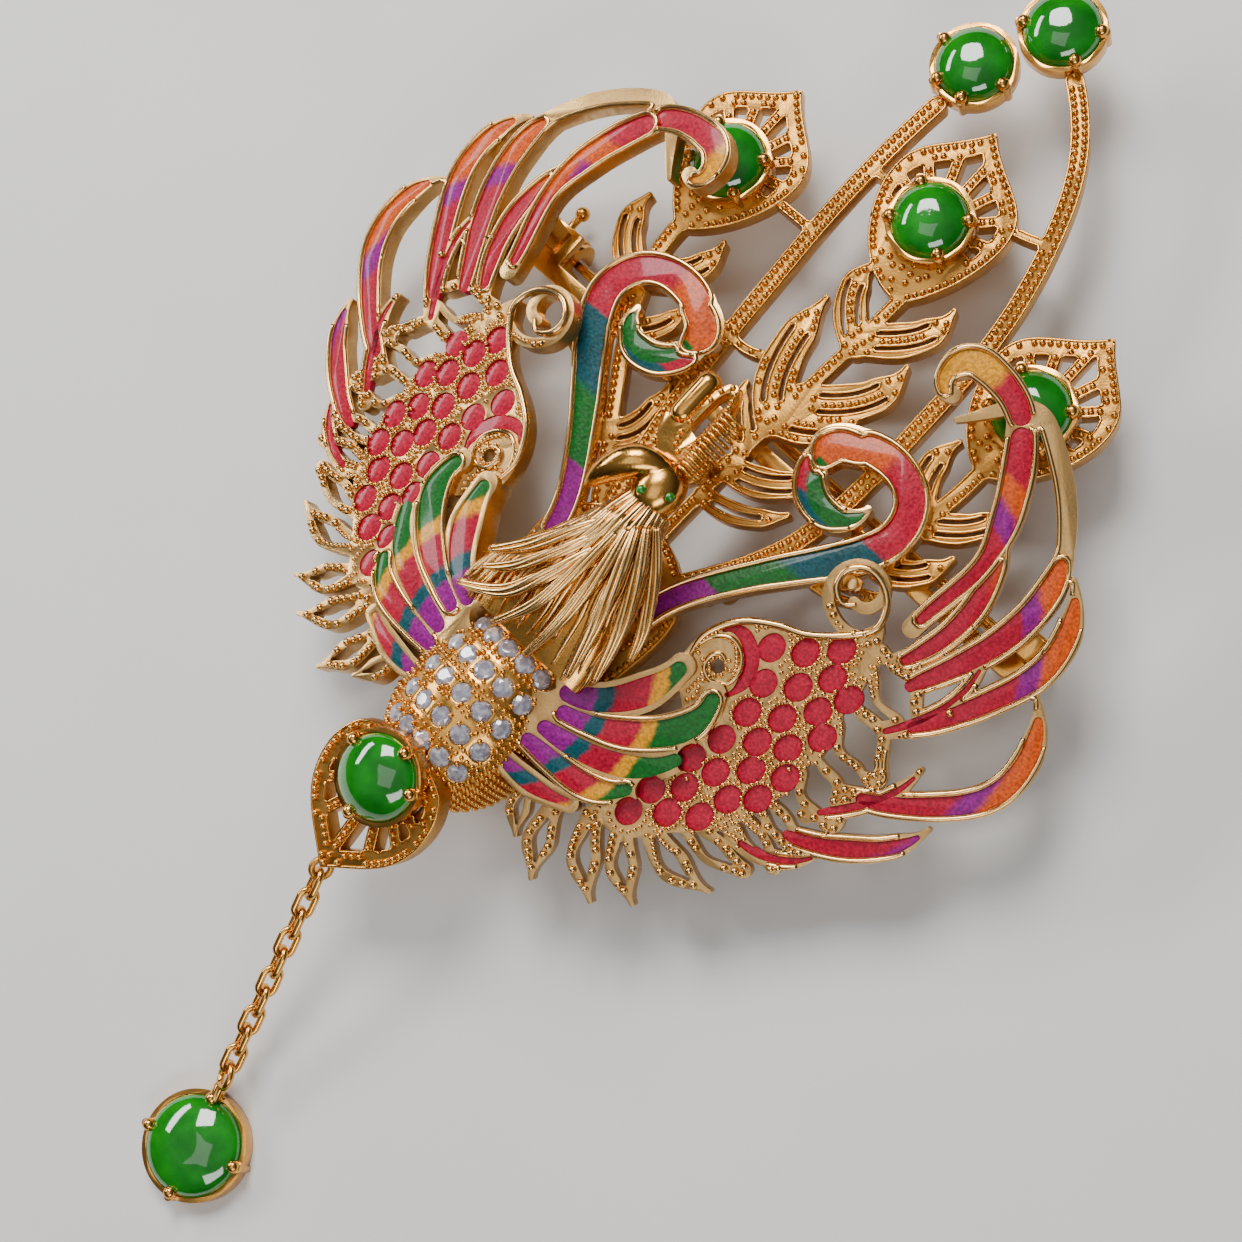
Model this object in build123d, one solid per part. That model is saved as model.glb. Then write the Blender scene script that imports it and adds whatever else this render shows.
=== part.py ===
"""Decorative phoenix hair pin: gilt openwork, enamel, glass cabochons and a pin back.

The pin lies on its back: +Z out of its face, +Y towards the top of the tail, +X across the wings.
Millimetres. Every sub-part is one function that returns solids in the final frame.
"""
import math
import os

from build123d import *

os.makedirs("parts", exist_ok=True)

# ---------------------------------------------------------------- driving sizes
ORIGIN_X = 0.0             # the bird's middle line, measured from the frame's origin
ORIGIN_Y = -2.8            # the bird's own zero height, between the wings

PIN_Z = 1.6                # height of the pin stem's axis above the table
PIN_Y = 16.7               # height of the pin stem up the bird
PIN_R = 0.4                # pin stem radius
PIN_TIP_R = 0.08           # radius left at the point
PIN_TIP_X = -20.2          # end of the point
PIN_TAPER_X = -14.5        # where the taper starts
PIN_ROOT_X = 19.0          # where the stem starts to widen towards its eye
PIN_ROOT_R = 0.43          # radius where the stem meets its eye
PIN_EYE_R = 0.85           # outer radius of the stem's eye
PIN_EYE_THICK = 0.9        # width of the eye between the ears
HINGE_X = 21.2             # hinge axis across the bird
RIVET_R = 0.35             # hinge rivet radius
RIVET_RUN = 0.05           # radial running clearance of the eye on the rivet
RIVET_HEAD_R = 0.62
RIVET_HEAD_THICK = 0.25
EAR_THICK = 0.45
EAR_GAP = 1.1              # clear width between the hinge ears
EAR_R = 1.6                # rounded end of an ear, which stands on the table
HINGE_WEB_X0 = 20.1
HINGE_WEB_X1 = 22.7
WEB_THICK = 0.5

CATCH_X = -18.1            # middle of the catch housing
CATCH_LENGTH = 1.6
CATCH_OUT_R = 1.6          # housing outer radius, which stands on the table
ROTOR_R = 1.2
ROTOR_RUN = 0.05           # radial clearance of the rotor in its housing
ROTOR_END_GAP = 0.06       # end clearance between a flange and the housing
ROTOR_SLOT = 1.04          # width of the rotor's slot for the pin stem
FLANGE_R = 1.48
FLANGE_THICK = 0.35
MOUTH = 1.2                # width of the housing's mouth
LEVER_R = 0.28
LEVER_LENGTH = 2.7
LEVER_BALL_R = 0.5

BAR_Z0 = 3.4               # underside of the back bar
BAR_THICK = 0.7
BAR_WIDTH = 1.1
BAR_Y = 15.2

TAIL_Z0 = 4.1              # underside of the tail fan
TAIL_THICK = 1.2
PLUME_THICK = 1.2
RIM = 0.34                 # gold rim left beside enamel
POCKET_DEPTH = 0.7         # depth of an enamel pocket
ENAMEL_SINK = 0.08         # how far enamel stays below its rim

WING_Z = 8.66              # face of the wing plane at the bird's zero point
WING_SIDE_TILT = 8.42      # degrees, tips lower
WING_RISE_TILT = 7.07      # degrees, tops higher
WING_THICK = 1.25
COVERT_RISE = 0.7          # how far the covert feathers stand above the wing
BEND_Y = 9.0               # height above which the long feathers lean inwards
BEND = {1: 0.12, -1: 0.0}  # inward lean for each millimetre up, by wing

BODY_R = 4.9               # barrel radius at its widest
BODY_Y0 = -14.2
BODY_Y1 = -2.6
STONE_R = 0.66
STONE_PITCH_Y = 1.87
STONE_TOP_Y = -3.85        # height of the first row of stones
STONE_TURN = 19.5          # degrees between stone columns round the barrel
STONE_COLUMNS = 5
STONE_ROWS = 5

CAPSULE_R = 0.82           # the crest's polished capsule
CAB_R = 2.45               # common cabochon radius
CAB_RISE = 2.1
CAB_GIRDLE = 0.45
LOW_CAB_R = 2.7
DROP_CAB_R = 3.2
BEZEL = 0.3                # bezel wall
BEZEL_HIGH = 0.75
SEAT = 0.4                 # metal under a stone
CLAW_R = 0.3
CLAW_BALL_R = 0.42

LINK_WIRE_R = 0.215
LINK_LENGTH = 2.3
LINK_WIDTH = 1.5
LINK_RUN = 0.05            # play between neighbouring links
LINK_COUNT = 10
TIP_RING_R = 0.83          # outer radius of the ring on the lower feather's tip
TIP_RING_IN = 0.62         # how far the ring's centre stands back from the chain's start
BAIL_R = 0.78              # wire centre line of the drop's bail
BAIL_WIRE_R = 0.24
BAIL_AT = (2.9, -35.9, 1.75)   # where the hanging chain ends
DROP_OFF = (1.4, -4.93)    # the chain's end to the drop's centre, over the table
DROP_NECK_Z = 0.9          # height at which the bail's neck meets the cup

LOW_X = -0.35              # the lower feather's cabochon
LOW_Y = -14.4
LOW_Z = 8.5
LOW_TILT = 17.0            # degrees, tip lower
LOW_TIP = 7.4              # cabochon centre to the feather's tip
LOW_THICK = 1.3
CHAIN_OFF = 0.95           # start of the chain beyond the feather's tip

# ---------------------------------------------------------------- derived sizes
TAIL_TOP = TAIL_Z0 + TAIL_THICK
PLUME_Z0 = TAIL_TOP
PLUME_TOP = PLUME_Z0 + PLUME_THICK
LINK_CENTRE = LINK_LENGTH / 2 - LINK_WIRE_R      # link centre to the wire's axis at its end
LINK_PITCH = 2 * LINK_CENTRE - 2 * LINK_WIRE_R - LINK_RUN

PARTS = []


def save(name, *solids):
    """Writes one node, a solid or a group of separate solids."""
    pieces = []
    for item in solids:
        pieces.extend(item.solids())
    moved = [Pos(ORIGIN_X, ORIGIN_Y, 0) * one for one in pieces]
    shape = moved[0] if len(moved) == 1 else Compound(children=moved)
    export_step(shape, "parts/" + name + ".step")
    PARTS.append(name)
    print(name, len(moved), round(sum(one.volume for one in moved), 2))


# ---------------------------------------------------------------- flat outlines
def value_along(values, t):
    """Eases between equally spaced values, t from 0 to 1."""
    if len(values) == 1:
        return values[0]
    place = t * (len(values) - 1)
    index = min(int(place), len(values) - 2)
    part = place - index
    part = part * part * (3 - 2 * part)
    return values[index] * (1 - part) + values[index + 1] * part


def strip(points, half, shift=0.0, start=0.0, end=1.0, steps=10):
    """A flat ribbon along a smooth centre line, with rounded ends."""
    spine = Spline(*points)
    left = []
    right = []
    ends = []
    for step in range(steps + 1):
        t = start + (end - start) * step / steps
        at = spine.position_at(t)
        way = spine.tangent_at(t)
        wide = value_along(half, t)
        mid = (at.X - way.Y * shift, at.Y + way.X * shift)
        left.append((mid[0] - way.Y * wide, mid[1] + way.X * wide))
        right.append((mid[0] + way.Y * wide, mid[1] - way.X * wide))
        ends.append((mid, way, wide))
    mid, way, wide = ends[0]
    first = (mid[0] - way.X * wide, mid[1] - way.Y * wide)
    mid, way, wide = ends[-1]
    last = (mid[0] + way.X * wide, mid[1] + way.Y * wide)
    edges = [
        Spline(*left),
        ThreePointArc(left[-1], last, right[-1]),
        Spline(*reversed(right)),
        ThreePointArc(right[0], first, left[0]),
    ]
    return make_face(edges)


def band(points, half, **more):
    """The same ribbon, narrower by the gold rim: where enamel goes."""
    inner = [max(0.1, value - RIM) for value in half]
    return strip(points, inner, **more)


def disc(x, y, r):
    return Pos(x, y) * Circle(r)


def patch(points):
    """A closed smooth patch through its corner points."""
    return make_face([Spline(*points, periodic=True)])


def corner_patch(sides):
    """A closed patch of several smooth sides that meet in corners."""
    return make_face([Spline(*side) for side in sides])


def slab(face, low, high):
    """A flat outline given thickness between two heights."""
    faces = face.faces() if hasattr(face, "faces") else [face]
    solids = []
    for one in faces:
        solids.append(extrude(Pos(0, 0, low) * one, amount=high - low, dir=(0, 0, 1)))
    whole = solids[0]
    for more in solids[1:]:
        whole = whole + more
    return whole


def joined(faces):
    whole = Sketch() + faces
    return whole


def leaf(points, wide, slots=2):
    """One beaded leaf of the tail: pointed at its tip and cut by fine slots."""
    face = strip(points, [0.18, wide * 0.85, wide, wide * 0.9])
    gaps = []
    if slots >= 2:
        for side in (-1, 1):
            gaps.append(strip(points, [0.13], shift=side * wide * 0.42, start=0.3, end=0.86))
    elif slots == 1:
        gaps.append(strip(points, [0.16], start=0.3, end=0.86))
    for gap in gaps:
        face = face - gap
    return face


def biggest(shape):
    """Keeps the main solid where trimming leaves loose crumbs."""
    return max(shape.solids(), key=lambda one: one.volume)


# ---------------------------------------------------------------- wing outlines
COVERTS = [
    ([(8.5, 2.4), (7.9, 0.0), (6.6, -1.9), (3.0, -3.7)], [0.8, 1.2, 1.05, 0.72]),
    ([(11.0, 2.4), (11.2, 0.3), (9.6, -2.0), (7.4, -3.5), (3.0, -4.7)], [0.75, 1.15, 1.1, 0.84, 0.66]),
    ([(11.9, -1.8), (10.9, -3.4), (8.6, -4.9), (3.0, -6.0)], [0.75, 1.05, 0.98, 0.66]),
    ([(10.9, -5.1), (9.2, -6.6), (6.8, -7.0), (3.0, -7.3)], [0.7, 0.98, 0.9, 0.66]),
    ([(8.7, -8.2), (6.9, -8.8), (3.2, -8.8)], [0.6, 0.84, 0.66]),
]
PRIMARIES = [
    ([(16.1, 26.0), (17.5, 23.7), (18.5, 21.2), (18.9, 18.2), (18.2, 15.3), (17.6, 12.9)],
     [0.9, 1.05, 1.0, 0.72, 0.7, 0.6]),
    ([(18.2, 20.8), (19.55, 18.6), (19.9, 16.0), (19.3, 13.2), (17.9, 10.6)],
     [0.45, 0.75, 0.85, 0.8, 0.6]),
    ([(22.2, 22.2), (22.9, 19.9), (22.6, 16.8), (21.5, 13.9), (19.6, 10.6), (18.6, 8.7)],
     [0.5, 0.95, 1.0, 0.95, 0.8, 0.5]),
    ([(23.7, 21.0), (25.1, 18.7), (25.2, 16.0), (23.9, 13.0), (22.0, 10.0), (19.6, 7.2)],
     [0.18, 0.85, 0.95, 0.9, 0.8, 0.5]),
    ([(25.8, 14.5), (27.3, 11.7), (26.9, 8.6), (25.0, 6.1), (22.2, 3.9), (19.7, 2.7)],
     [0.18, 0.85, 0.95, 0.9, 0.8, 0.5]),
    ([(22.1, 14.2), (22.1, 11.9), (21.0, 9.2), (19.3, 6.6)], [0.3, 0.5, 0.6, 0.5]),
    ([(22.9, 7.0), (22.6, 5.0), (21.5, 3.0), (19.6, 0.6)], [0.2, 0.55, 0.6, 0.5]),
    ([(25.5, 4.7), (24.6, 2.6), (22.9, 0.9), (20.6, -0.6), (18.4, -1.2)],
     [0.18, 0.75, 0.85, 0.75, 0.5]),
    ([(21.7, -0.7), (20.6, -2.1), (18.9, -3.0), (17.2, -3.2)], [0.15, 0.55, 0.6, 0.5]),
]
UPPER_EDGE = ([(12.9, 23.6), (14.3, 25.2), (16.4, 26.9), (18.6, 26.0), (20.9, 24.0), (22.2, 22.2)],
              [0.16, 0.4, 0.55, 0.6, 0.6, 0.55])
CURL = ([(11.9, 24.55), (11.2, 24.6), (10.95, 25.6), (11.7, 26.75), (13.3, 27.0), (14.9, 26.7),
         (16.1, 26.0)],
        [0.5, 0.66, 0.95, 1.05, 1.0, 0.95, 0.9])
# each spur and loop: its centre line, its half widths, and the same for its opening
SPURS = [
    ([(13.2, -6.1), (15.6, -6.9), (18.3, -6.6)], [0.7, 1.05, 0.14],
     [(13.9, -6.4), (15.4, -6.9), (16.9, -6.9)], [0.14, 0.5, 0.12]),
    ([(12.0, -7.3), (13.4, -9.0), (15.4, -10.3)], [0.7, 1.0, 0.14],
     [(12.6, -8.0), (13.3, -8.9), (14.3, -9.7)], [0.14, 0.45, 0.12]),
    ([(10.2, -8.0), (11.4, -10.2), (13.4, -11.9)], [0.7, 1.05, 0.14],
     [(10.7, -8.9), (11.3, -10.1), (12.4, -11.1)], [0.14, 0.48, 0.12]),
    ([(8.0, -9.2), (8.7, -11.4), (9.8, -13.3)], [0.6, 1.0, 0.14],
     [(8.3, -10.0), (8.7, -11.3), (9.3, -12.3)], [0.14, 0.42, 0.12]),
    ([(6.0, -9.2), (6.5, -10.8), (7.4, -12.0)], [0.5, 0.75, 0.14],
     [(6.2, -9.8), (6.5, -10.7), (7.0, -11.4)], [0.12, 0.28, 0.1]),
]
BEAD_LOOPS = [
    ([(16.7, 10.2), (18.7, 9.6), (20.9, 8.6)], [0.9, 1.5, 0.7],
     [(17.4, 9.95), (18.8, 9.4), (20.3, 8.8)], [0.3, 0.92, 0.25]),
    ([(17.2, 6.6), (19.0, 6.1), (21.1, 5.0)], [1.0, 1.7, 0.8],
     [(17.8, 6.5), (19.0, 6.0), (20.5, 5.2)], [0.4, 1.08, 0.35]),
    ([(17.7, 2.9), (19.1, 2.3), (20.9, 1.4)], [0.9, 1.45, 0.8],
     [(18.2, 2.85), (19.1, 2.25), (20.3, 1.6)], [0.35, 0.85, 0.28]),
    ([(16.9, -0.5), (18.6, -0.8), (20.6, -1.3)], [0.6, 0.85, 0.6],
     [(17.7, -0.65), (18.7, -0.85), (19.9, -1.1)], [0.12, 0.32, 0.1]),
    ([(16.2, -2.2), (18.2, -2.45), (20.2, -2.9)], [0.6, 0.8, 0.5],
     [(17.1, -2.3), (18.2, -2.5), (19.4, -2.7)], [0.12, 0.3, 0.1]),
    ([(14.6, -4.4), (16.8, -4.6), (19.0, -4.3)], [0.7, 0.95, 0.5],
     [(15.5, -4.6), (16.8, -4.7), (18.2, -4.5)], [0.14, 0.42, 0.12]),
]
SCALE_FIELD = [
    (15.5, 11.9), (14.6, 10.3), (12.8, 8.7), (11.0, 7.9), (9.2, 6.6), (8.1, 4.6), (8.2, 2.2),
    (10.2, 0.3), (11.2, -2.0), (10.4, -4.4), (10.0, -6.6), (10.9, -7.9), (12.6, -7.5),
    (13.9, -6.0), (15.2, -4.8), (16.7, -3.1), (17.5, -0.8), (18.0, 1.2), (18.1, 3.9),
    (17.7, 6.6), (17.2, 8.8), (16.5, 10.8),
]
SCALES = [
    (14.9, 9.2), (13.4, 7.7), (15.6, 7.6), (17.1, 7.3), (11.7, 6.6), (14.4, 5.9), (16.2, 5.6),
    (12.7, 4.7), (17.4, 4.6), (14.9, 3.9), (13.1, 2.8), (16.3, 2.8), (14.7, 1.9), (17.3, 1.4),
    (13.0, 0.6), (15.5, 0.4), (16.9, -0.6), (14.0, -1.1), (12.4, -1.4), (15.6, -1.8),
    (13.2, -3.0), (15.0, -3.7), (11.8, -4.4), (13.4, -4.8), (11.6, -6.3),
]
SCALE_SHAPE = [(0.0, 0.95), (0.66, 0.55), (0.64, -0.5), (0.1, -0.88), (-0.56, -0.62), (-0.7, 0.4)]
SCALE_MIDDLE = 13.5        # scales here stand upright; the others fan out from them
SCALE_TURN = -2.0          # degrees for each millimetre
SPIRAL = (10.0, 3.7)
SPIRAL_R = 1.5
SCROLL = [(15.7, 11.3), (14.9, 10.4), (13.2, 10.4), (11.95, 11.5), (11.9, 13.0), (13.1, 14.0),
          (14.5, 13.5), (14.6, 12.3), (13.6, 11.8)]


def wing_plane(side):
    """The tilted plane that one wing is built on: side is 1 or -1."""
    return Pos(0, 0, WING_Z) * Rot(WING_RISE_TILT, side * WING_SIDE_TILT, 0)


def placed_wing(shape, side):
    """Puts a shape drawn for the +X wing on its tilted plane, or mirrors it to the other."""
    right = wing_plane(1) * shape
    if side > 0:
        return right
    return mirror(right, about=Plane.YZ)


def scale_patches():
    """The scales' enamel outlines, each turned to point up the wing."""
    faces = []
    for x, y in SCALES:
        turn = math.radians(SCALE_TURN * (x - SCALE_MIDDLE))
        faces.append(patch([(x + u * math.cos(turn) - v * math.sin(turn),
                             y + u * math.sin(turn) + v * math.cos(turn)) for u, v in SCALE_SHAPE]))
    return faces


def bent(points, side):
    """Long feathers lean inwards above BEND_Y, by each wing's own amount."""
    lean = BEND[side]
    return [(x - lean * max(0.0, y - BEND_Y), y) for x, y in points]


def wing_metal(side):
    """One wing's gold, drawn for +X: a single casting with pockets for its enamel."""
    faces = [patch(SCALE_FIELD)]
    for points, half in PRIMARIES + [UPPER_EDGE, CURL]:
        faces.append(strip(bent(points, side), half))
    for points, half, _, _ in SPURS + BEAD_LOOPS:
        faces.append(strip(points, half))
    faces.append(strip(SCROLL, [0.34]))
    flat = joined(faces)
    for _, _, points, half in SPURS + BEAD_LOOPS:
        flat = flat - strip(points, half)
    flat = flat - disc(SPIRAL[0], SPIRAL[1], 0.42)
    body = slab(flat, -WING_THICK, 0)
    low = joined([strip(points, half) for points, half in COVERTS])
    coverts = slab(low, -WING_THICK, COVERT_RISE)
    body = body + coverts
    pockets = primary_enamel_faces(side) + scale_patches() + [spiral_face()]
    for face in pockets:
        body = body - slab(face, -POCKET_DEPTH, COVERT_RISE + 1)
    for face in covert_enamel_faces():
        body = body - slab(face, COVERT_RISE - POCKET_DEPTH, COVERT_RISE + 1)
    return body


def primary_enamel_faces(side):
    """Enamel outlines of the long feathers and the curled tip, which share no metal."""
    curl = band(bent(CURL[0], side), CURL[1], start=0.06, end=0.97)
    first_way = bent(PRIMARIES[0][0], side)
    first = band(first_way, PRIMARIES[0][1], start=0.07, end=0.95)
    outer = band(bent(PRIMARIES[1][0], side), PRIMARIES[1][1], start=0.1, end=0.93)
    faces = [curl, first, outer - strip(first_way, PRIMARIES[0][1])]
    for points, half in PRIMARIES[2:]:
        faces.append(band(bent(points, side), half, start=0.08, end=0.88))
    return faces


def covert_enamel_faces():
    """Enamel outlines of the covert feathers, stopping short of the body."""
    faces = []
    for points, half in COVERTS:
        faces.append(band(points, half, start=0.03, end=0.84))
    return faces


def spiral_face():
    """The large enamel patch round the small spiral."""
    ring = strip([(8.9, 5.6), (9.9, 6.15), (11.1, 5.5), (11.75, 4.3), (11.6, 2.9)],
                 [0.16, 0.42, 0.5, 0.42, 0.16])
    return ring


# ---------------------------------------------------------------- wings
def wing(side):
    shape = placed_wing(wing_metal(side), side)
    shape = shape - body_solid() - neck_solid()
    for guard in stone_guards():
        shape = shape - guard
    return biggest(shape)


def wing_enamel(faces, high, side):
    solids = []
    for face in faces:
        piece = slab(face, high - POCKET_DEPTH, high - ENAMEL_SINK)
        solids.append(placed_wing(piece, side))
    return solids


# ---------------------------------------------------------------- plumes
PLUME_POINTS = [(4.0, 2.6), (4.75, 5.3), (6.1, 7.5), (7.9, 9.95), (9.9, 12.4), (11.6, 14.8),
                (12.2, 16.8), (11.4, 18.8), (9.6, 19.7), (7.6, 19.6), (5.7, 18.7)]
PLUME_HALF = [0.85, 0.88, 0.9, 0.95, 1.05, 1.15, 1.2, 1.15, 1.1, 1.15, 0.95]
PLUME_HEAD = [(8.2, 20.3), (6.6, 20.3), (4.9, 19.5), (4.2, 18.2), (4.6, 17.0), (5.9, 16.2),
              (6.6, 17.6), (8.0, 18.6)]
PLUME_CURL = ([(5.3, 17.7), (5.6, 16.1), (6.9, 15.0), (8.5, 14.95), (9.5, 15.7), (9.8, 16.7)],
              [0.75, 1.0, 1.1, 1.05, 0.75, 0.25])
PLUME_HEAD_ENAMEL = [(7.9, 20.0), (6.7, 19.7), (5.2, 19.1), (4.6, 18.1), (4.95, 17.2), (5.8, 16.8),
                     (6.4, 17.9), (7.6, 18.75)]


def plume_flat():
    flat = joined([
        strip(PLUME_POINTS, PLUME_HALF, steps=16),
        patch(PLUME_HEAD),
        strip(*PLUME_CURL),
        strip([(10.4, 12.2), (11.1, 12.5), (12.3, 12.9)], [0.45]),
    ])
    return flat


def plume_enamel_faces():
    shaft = band(PLUME_POINTS, PLUME_HALF, start=0.03, end=0.93, steps=16) + patch(PLUME_HEAD_ENAMEL)
    curl = band(PLUME_CURL[0], PLUME_CURL[1], start=0.1, end=0.93)
    divider = strip(PLUME_POINTS, PLUME_HALF, steps=16) + patch(PLUME_HEAD)
    return [shaft, curl - divider]


def mirrored(shape, side):
    return shape if side > 0 else mirror(shape, about=Plane.YZ)


def plume(side):
    """One curled plume: a gold channel that rests on the tail fan."""
    metal = slab(plume_flat(), PLUME_Z0, PLUME_TOP)
    for face in plume_enamel_faces():
        metal = metal - slab(face, PLUME_TOP - POCKET_DEPTH, PLUME_TOP + 1)
    post = Pos(12.2, 12.75, PLUME_Z0 + 1.6) * Cylinder(0.42, 3.2)
    metal = metal + post
    metal = mirrored(metal, side)
    ceiling = wing_ceiling(side)
    return biggest(metal - ceiling)


def plume_enamel(side):
    solids = []
    for face in plume_enamel_faces():
        piece = slab(face, PLUME_TOP - POCKET_DEPTH, PLUME_TOP - ENAMEL_SINK)
        solids.append(mirrored(piece, side))
    return solids


def wing_ceiling(side):
    """Everything above a wing's back, used to trim the posts that carry it."""
    block = Pos(15, 5, 5 - WING_THICK) * Box(60, 80, 10)
    right = wing_plane(1) * block
    if side > 0:
        return right
    return mirror(right, about=Plane.YZ)


# ---------------------------------------------------------------- tail fan
def eye_feather(centre, tip, left, right, foot):
    """The pointed eye of a tail feather: a rim, a seat disc and spokes between them."""
    sides = [[tip, between(tip, left[0]), left[0], left[1], foot],
             [foot, right[1], right[0], between(tip, right[0]), tip]]
    outline = corner_patch(sides)
    inner = corner_patch(shrunk(sides, centre, 0.78))
    opening = inner - disc(centre[0], centre[1], CAB_R + 0.25)
    spokes = []
    for turn in (-8, 18, 44, 68, 90, 112, 136, 162, 188):
        way = math.radians(turn)
        end = (centre[0] + 9 * math.cos(way), centre[1] + 9 * math.sin(way))
        spokes.append(strip([centre, ((centre[0] + end[0]) / 2, (centre[1] + end[1]) / 2), end], [0.34]))
    below = Pos(centre[0], centre[1] - 10.6) * Rectangle(30, 20)
    opening = opening - joined(spokes) - below
    return outline - opening


def between(first, second):
    """Half way between two points: keeps an outline straight near its corner."""
    return ((first[0] + second[0]) / 2, (first[1] + second[1]) / 2)


def shrunk(sides, centre, factor):
    """The same sides drawn smaller about a centre."""
    smaller = []
    for side in sides:
        smaller.append([(centre[0] + (x - centre[0]) * factor, centre[1] + (y - centre[1]) * factor)
                        for x, y in side])
    return smaller


def middle_feather():
    faces = [
        eye_feather((0.35, 32.3), (-0.7, 39.2), [(-3.9, 35.2), (-3.5, 31.2)],
                    [(4.1, 35.8), (4.3, 31.5)], (2.0, 27.4)),
        strip([(2.0, 28.4), (1.75, 23.5), (1.35, 18.0), (1.0, 9.0), (0.9, 3.0)], [0.42]),
        leaf([(-0.8, 28.4), (-0.7, 26.4), (0.3, 25.0), (1.8, 23.9)], 1.05),
        leaf([(5.0, 29.2), (4.7, 27.0), (3.6, 25.6), (2.0, 24.3)], 1.15),
        leaf([(-1.6, 24.9), (-1.3, 21.8), (-0.5, 19.2), (1.2, 17.2)], 1.3),
        leaf([(5.2, 24.8), (5.0, 22.3), (3.8, 20.6), (1.8, 19.2)], 1.25),
        leaf([(5.2, 20.2), (4.4, 18.8), (3.2, 17.8), (1.4, 17.0)], 0.8, 1),
        leaf([(-1.7, 17.8), (-1.0, 16.4), (0.0, 15.4), (1.0, 14.6)], 0.75, 1),
        leaf([(6.0, 16.2), (4.9, 14.9), (3.6, 13.9), (1.3, 13.2)], 1.0),
        leaf([(6.0, 13.4), (4.9, 12.2), (3.6, 11.4), (1.2, 10.9)], 0.7, 1),
    ]
    return joined(faces)


def left_feather():
    faces = [
        eye_feather((-12.1, 27.3), (-12.1, 33.8), [(-16.0, 30.4), (-15.6, 26.5)],
                    [(-8.2, 30.2), (-8.7, 25.9)], (-12.0, 22.2)),
        strip([(-12.0, 23.0), (-11.7, 19.5), (-10.2, 16.0), (-7.4, 11.8), (-4.4, 7.6), (-2.0, 4.0)],
              [0.5]),
        leaf([(-14.9, 22.7), (-14.7, 20.8), (-13.6, 19.3), (-11.7, 18.2)], 1.0),
        leaf([(-9.0, 23.4), (-9.1, 21.4), (-10.1, 19.8), (-11.6, 18.6)], 1.0),
        leaf([(-8.0, 18.9), (-8.2, 17.4), (-8.9, 16.2), (-10.0, 15.4)], 0.8, 1),
        leaf([(-5.3, 14.6), (-4.9, 12.6), (-5.2, 10.9), (-6.4, 9.9)], 0.95),
        leaf([(-2.8, 13.6), (-2.6, 11.3), (-3.0, 9.3), (-4.3, 7.6)], 0.85),
    ]
    return joined(faces)


def right_feather():
    faces = [
        eye_feather((13.0, 27.4), (13.5, 34.0), [(9.2, 30.3), (9.5, 25.9)],
                    [(16.9, 30.6), (16.7, 26.4)], (13.0, 22.6)),
        strip([(13.0, 23.2), (12.7, 19.6), (11.6, 15.9), (9.9, 12.6), (7.6, 9.3), (5.0, 6.0)], [0.5]),
        leaf([(10.8, 23.4), (10.6, 21.2), (11.2, 19.6), (12.5, 18.1)], 1.0),
        leaf([(15.7, 22.2), (15.2, 20.4), (14.2, 19.3), (12.7, 18.3)], 0.95),
        leaf([(15.3, 17.9), (14.6, 16.2), (13.4, 15.1), (11.6, 14.6)], 0.9),
        leaf([(13.6, 13.6), (12.8, 12.6), (11.6, 12.0), (10.0, 11.6)], 0.7, 1),
        leaf([(7.9, 10.9), (7.0, 9.8), (6.6, 8.6), (6.4, 7.4)], 0.6, 1),
        leaf([(3.4, 11.2), (3.5, 9.6), (4.2, 8.2), (5.4, 6.6)], 0.8, 1),
    ]
    return joined(faces)


def tail_frame_flat():
    stems = [
        strip([(-4.8, 38.3), (-5.15, 34.0), (-5.15, 27.5), (-4.8, 21.0), (-4.4, 15.5), (-3.4, 9.5),
               (-1.8, 4.0)], [0.58], steps=14),
        strip([(0.65, 44.65), (2.6, 43.0), (4.9, 40.0), (6.4, 36.6), (7.6, 32.4), (8.2, 28.2),
               (8.35, 22.5), (8.2, 16.5), (7.3, 11.8), (5.2, 7.8), (2.6, 4.0)], [0.58], steps=18),
    ]
    root = patch([(0.4, 7.4), (3.2, 6.6), (5.3, 4.2), (5.4, 1.2), (4.4, -2.2), (0.2, -3.4),
                  (-4.4, -2.2), (-5.4, 1.2), (-5.3, 4.2), (-2.8, 6.6)])
    return joined(stems + [root])


def tail_struts(feathers):
    struts = joined([
        strip([(-8.6, 27.5), (-7.0, 27.5), (-5.3, 27.5)], [0.3]),
        strip([(-5.0, 32.7), (-4.2, 32.8), (-3.6, 32.9)], [0.28]),
        strip([(-4.8, 19.5), (-3.2, 19.3), (-1.7, 20.0)], [0.3]),
        strip([(4.0, 35.1), (5.3, 35.4), (6.7, 35.9)], [0.28]),
    ])
    return struts - feathers


def tail_slabs():
    """The tail's frame and its three feathers, which meet edge to edge."""
    frame = tail_frame_flat()
    middle = middle_feather() - frame
    left = left_feather() - frame
    right = right_feather() - frame
    left = left - middle
    right = right - middle
    struts = tail_struts(middle + left)
    frame = frame + struts
    bodies = []
    for flat in (frame, middle, left, right):
        solid = slab(flat, TAIL_Z0, TAIL_TOP) - body_solid()
        bodies.append(biggest(solid))
    return bodies


# ---------------------------------------------------------------- body and stones
BARREL_RINGS = [(1.6, BODY_Y0), (3.1, -13.3), (4.35, -11.4), (BODY_R, -8.6), (4.6, -5.4), (3.7, BODY_Y1)]


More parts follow.
